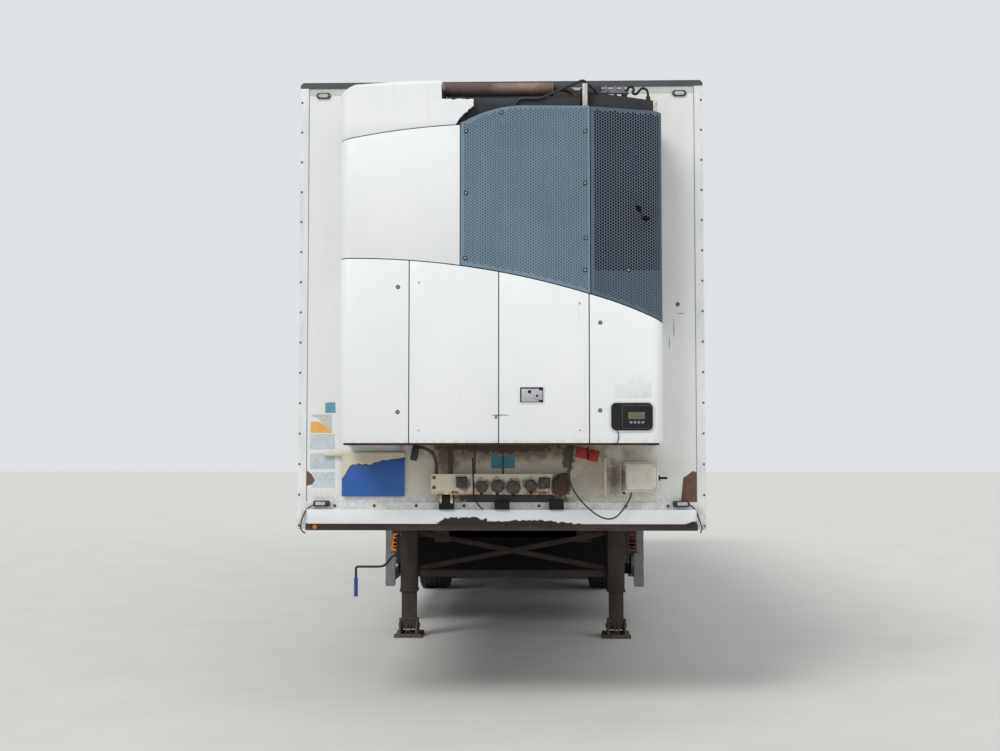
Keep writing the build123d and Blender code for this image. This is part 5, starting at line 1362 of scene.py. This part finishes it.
# silver enamel on pressed steel, chipped and rusty at its edges
rim_enamel = finish("rim_enamel_silver", "a4a7a9", 0.45, (70, 0.42, 0.66, "8c8c8a", 0.7),
    (8, 0.6, 0.72, "6a5546", 0.6), metallic=0.4)
nut_steel = finish("wheel_nut_steel", "77726e", 0.45, (6, 0.42, 0.62, "5d4737", 0.7), metallic=0.8)
nut_count = 10
hand_holes, dish_outer, dish_inner, hole_ring, hole_reach, hole_steps = 10, 0.254, 0.166, 0.215, 0.024, 6
dish_front, dish_back = 0.124, 0.112
wheel_places = [(number, place, *which) for number, place in enumerate(axle_places, start=1)
    for which in both_sides]
for number, place, side, word in wheel_places:
    body = f"wheel_{number}_{word}"
    centre = Vector((side * wheel_x, place, wheel_radius))
    turned(centre, [(r, -x) for r, x in tyre_profile[::-1]] + tyre_profile, 96, "X")
    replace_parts(made(f"tyre_casing_{number}_{word}", tyre_rubber, body, 28), f"tyre_{number}_{word}")
    turns = [2 * math.pi * i / pad_count for i in range(pad_count) for _ in (-1, 1)]
    pads = [centre + Vector((0.15 * (-1) ** i, *around(0.5325, turn))) for i, turn in enumerate(turns)]
    grown(f"tyre_pads_{number}_{word}", pads, bar_tree(f"tyre_pads_{number}_{word}", tyre_rubber),
        {"Bar size": (0.02, 0.0055, 0.0305)}, "tyre", body, turn=turns)
    rings = {}
    for level in (dish_front, dish_back):
        for sector in range(hand_holes):
            middle, reach = math.tau * (sector + 0.5) / hand_holes, math.pi / hand_holes
            corners = [(dish_outer, middle - reach), (dish_outer, middle + reach),
                (dish_inner, middle + reach), (dish_inner, middle - reach)]
            outer = []
            for (r0, a0), (r1, a1) in zip(corners, corners[1:] + corners[:1]):
                for share in [i / hole_steps for i in range(hole_steps)]:
                    spot = around(r0 + (r1 - r0) * share, a0 + (a1 - a0) * share)
                    outer.append(Vector((side * level, *spot)))
            hub = Vector((side * level, *around(hole_ring, middle)))
            inner = [hub + hole_reach * (spot - hub).normalized() for spot in outer]
            rings[level, sector] = [[bench.verts.new(spot + centre) for spot in ring]
                for ring in (outer, inner)]
    for sector in range(hand_holes):
        front_outer, front_inner = rings[dish_front, sector]
        back_outer, back_inner = rings[dish_back, sector]
        for i in range(4 * hole_steps):
            after = (i + 1) % (4 * hole_steps)
            bench.faces.new((front_outer[i], front_outer[after], front_inner[after], front_inner[i]))
            bench.faces.new((back_outer[i], back_outer[after], back_inner[after], back_inner[i]))
            bench.faces.new((front_inner[i], front_inner[after], back_inner[after], back_inner[i]))
    bmesh.ops.remove_doubles(bench, verts=bench.verts, dist=0.0002)
    walls = [e for e in bench.edges if len(e.link_faces) == 1]
    bmesh.ops.bridge_loops(bench, edges=walls)
    turned(centre, [(0.2857, side * x) for x in (-0.143, 0.138)] + [(0.274, side * 0.1398),
        (0.264, side * 0.137), (0.259, side * 0.125), (0.2535, side * 0.118), (0.2535, side * 0.108),
        (0.262, side * 0.07), (0.27, side * -0.13), (0.276, side * -0.1425)], 80, "X")
    turned(centre, [(0.168, side * 0.11), (0.168, side * 0.124), (0.164, side * 0.13), (0.118, side * 0.131),
        (0.113, side * 0.138), (0.111, side * 0.164), (0.101, side * 0.176), (0.004, side * 0.179),
        (0.004, side * 0.11)], 60, "X")
    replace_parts(made(f"rim_dish_{number}_{word}", rim_enamel, body, 32), f"rim_{number}_{word}")
    nuts = [centre + Vector((side * 0.13, *around(0.141, math.tau * (i + 0.5) / nut_count)))
        for i in range(nut_count)]
    fixings(f"wheel_nuts_{number}_{word}", nuts, (side, 0, 0), 0.0165, 0.026, 6, nut_steel, "rim", body)
    turned(centre, [(0.06, side * -0.059), (0.195, side * -0.1), (0.205, side * -0.098), (0.205, side * 0.06),
        (0.19, side * 0.09), (0.112, side * 0.109), (0.06, side * 0.109)], 48, "X")
    made(f"brake_drum_{number}_{word}", plate_rust, body, 40)

# Rear portal: brushed stainless steel posts, header and sill with welded hinge lugs, rubber buffers on
# the sill and a blank number plate under it.
stainless = finish("stainless_brushed", "bfc1c2", 0.34, (3, 0.35, 0.65, "a9abac", 0.5, (1, 1, 0.03)),
    (70, 0.46, 0.72, "989794", 0.4, (1, 1, 0.3)), metallic=0.85)
dress(stainless, "rear_frame", "door_left_gear", "door_right_gear")
rear_y = 6.98
for x in (-1.16, -0.56, 0.56, 1.16):
    slab(about(x, 0.09), (rear_y - 0.0055, rear_y + 0.036), (1.25, 1.318), 0.01)
made("sill_buffers", lamp_black)
fixings("buffer_bolts", [(x + step, rear_y + 0.0355, 1.284) for x in (-1.16, -0.56, 0.56, 1.16)
    for step in (-0.055, 0.055)], (0, 1, 0), 0.01, 0.002, 12, bolt_steel, "stainless")
slab((-0.27, 0.27), (rear_y - 0.024, rear_y - 0.014), (1.098, 1.245), 0.002)
made("number_plate_holder", lamp_black)
plate_blank = finish("number_plate_blank", "dcdcd6", 0.35, (40, 0.42, 0.7, "c4c2b8", 0.6))
slab((-0.26, 0.26), (rear_y - 0.0142, rear_y - 0.0125), (1.108, 1.218), 0.0008)
made("number_plate_blank", plate_blank)

# Rear doors: the same white sandwich panel edged with stainless strips and a black rubber seal, hung on
# bolted hinge straps. Two locking bars turn in bolted guides on each door, with a flat handle each.
seal_rubber = finish("door_seal_rubber", "1b1c1d", 0.7, (30, 0.42, 0.66, "3a3937", 0.7, (1, 1, 0.2)))
door_low, door_high = 1.33, 3.938
hinge_heights = [door_low + share * (door_high - door_low) for share in (0.07, 0.36, 0.65, 0.93)]
guide_heights = [door_low + share * (door_high - door_low) for share in (0.02, 0.17, 0.49, 0.78, 0.98)]
for side, word in both_sides:
    body = f"rear_door_{word}"
    dress(box_white, f"door_{word}")
    inner, outer = 0.003, 1.23
    for x0, x1, z0, z1 in ((inner, inner + 0.034, door_low, door_high),
            (outer - 0.034, outer, door_low, door_high), (inner + 0.034, outer - 0.034, door_low,
            door_low + 0.034), (inner + 0.034, outer - 0.034, door_high - 0.034, door_high)):
        slab(sorted((side * x0, side * x1)), (rear_y - 0.001, rear_y + 0.0015), (z0, z1), 0.0006)
    made(f"door_strips_{word}", stainless, body)
    for x0, x1, z0, z1 in ((inner - 0.0025, inner, door_low, door_high),
            (outer, outer + 0.0045, door_low, door_high), (inner, outer, door_low - 0.0045, door_low),
            (inner, outer, door_high, door_high + 0.0045)):
        slab(sorted((side * x0, side * x1)), (rear_y - 0.07, rear_y - 0.006), (z0, z1), 0.0008)
    made(f"door_seal_{word}", seal_rubber, body)
    for z in hinge_heights:
        slab(sorted((side * 1.088, side * 1.268)), (rear_y + 0.007, rear_y + 0.0095), about(z, 0.024), 0.001)
        rod((side * 1.286, rear_y + 0.022, z - 0.0225), (side * 1.286, rear_y + 0.022, z + 0.0225), 0.0138,
            24)
    made(f"hinge_straps_{word}", stainless, body)
    strap_bolts = [(side * x, rear_y + 0.0094, z) for z in hinge_heights for x in (1.11, 1.16, 1.21)]
    fixings(f"hinge_bolts_{word}", strap_bolts, (0, 1, 0), 0.008, 0.005, 12, lock_steel, "stainless", body)
    guide_bolts = [(side * bar + step, rear_y + 0.0126, z) for bar in (0.33, 0.93) for z in guide_heights
        for step in (-0.033, 0.033)]
    fixings(f"guide_bolts_{word}", guide_bolts, (0, 1, 0), 0.007, 0.005, 12, lock_steel, "stainless", body)
    for bar, reach in ((0.33, 0.18), (0.93, -0.18)):
        for z in guide_heights:
            turned((side * bar, rear_y + 0.0265, 0.0), [(0.01, z - 0.018), (0.0134, z - 0.018),
                (0.0134, z + 0.018), (0.01, z + 0.018)], 24)
        for z in (door_low + 0.022, door_high - 0.022):
            slab(about(side * bar, 0.03), (rear_y + 0.016, rear_y + 0.037), about(z, 0.007), 0.003)
        slab(sorted((side * (bar + reach * 0.55), side * (bar + reach * 1.04))),
            (rear_y + 0.012, rear_y + 0.029), (1.816, 1.854), 0.006)
        slab(about(side * (bar + reach * 0.8), 0.02), (rear_y, rear_y + 0.013), (1.795, 1.875), 0.003)
    made(f"lock_fittings_{word}", stainless, body, 30)

# Load space: a ribbed aluminium floor, aluminium kick strips along the walls, and the evaporator's
# white cover with three round fan guards and slots under the roof.
floor_alu = finish("floor_aluminium_worn", "a6a9ab", 0.5, (200, 0.42, 0.66, "84878a", 0.6, (1, 0.2, 1)),
    (5, 0.58, 0.7, "6f6c68", 0.5, (1, 0.1, 1)), metallic=0.3)
dress(floor_alu, "floor")
floor_top, floor_front, floor_back = 1.324, -6.48, 6.88
rib_count, rib_pitch = 49, 0.05
rib_places = [(-1.2 + rib_pitch * i, (floor_front + floor_back) / 2, floor_top + 0.0025)
    for i in range(rib_count)]
grown("floor_ribs", rib_places, bar_tree("floor_ribs", floor_alu),
    {"Bar size": (0.03, floor_back - floor_front - 0.02, 0.006)}, "aluminium")
for side in (-1, 1):
    slab(sorted((side * 1.236, side * 1.2402)), (floor_front + 0.01, floor_back - 0.01), (1.33, 1.58), 0.001)
made("kick_strips", floor_alu)
cover_white = finish("evaporator_cover_white", "dfe1df", 0.4, (200, 0.42, 0.7, "cfd1ce", 0.5))
dress(cover_white, "evaporator")
tilt = Matrix.Translation((0, -6.32, 3.564)) @ Matrix.Rotation(math.atan2(0.14, 0.44), 4, "X")
fan_places = (-0.55, 0.0, 0.55)
for x in fan_places:
    for i in range(6):
        radius = 0.03 + 0.027 * i
        turned((x, 0, 0), [(radius - 0.0022, 0.02), (radius + 0.0022, 0.02), (radius + 0.0022, 0.0244),
            (radius - 0.0022, 0.0244)], 40, "Y")
    for i in range(8):
        (in_x, in_z), (out_x, out_z), (foot_x, foot_z) = [around(radius, math.tau * i / 8)
            for radius in (0.028, 0.168, 0.166)]
        rod((x + in_x, 0.019, in_z), (x + out_x, 0.019, out_z), 0.0026, 8)
        if i % 2:
            rod((x + foot_x, 0.0002, foot_z), (x + foot_x, 0.023, foot_z), 0.0035, 8)
bench.transform(tilt)
made("fan_guards", stainless)
# black discs behind the fan guards: painted shade in the fan openings
for x in fan_places:
    rod((x, 0.0002, 0), (x, 0.004, 0), 0.166, 40)
bench.transform(tilt)
made("fan_wells", hole_shade_black)
# black strips for the slots: painted shade inside them
for z in (3.815, 3.845, 3.875, 3.905):
    slab((-0.8, 0.8), (-6.2499, -6.247), about(z, 0.008), 0.001)
made("air_slots", hole_shade_black)
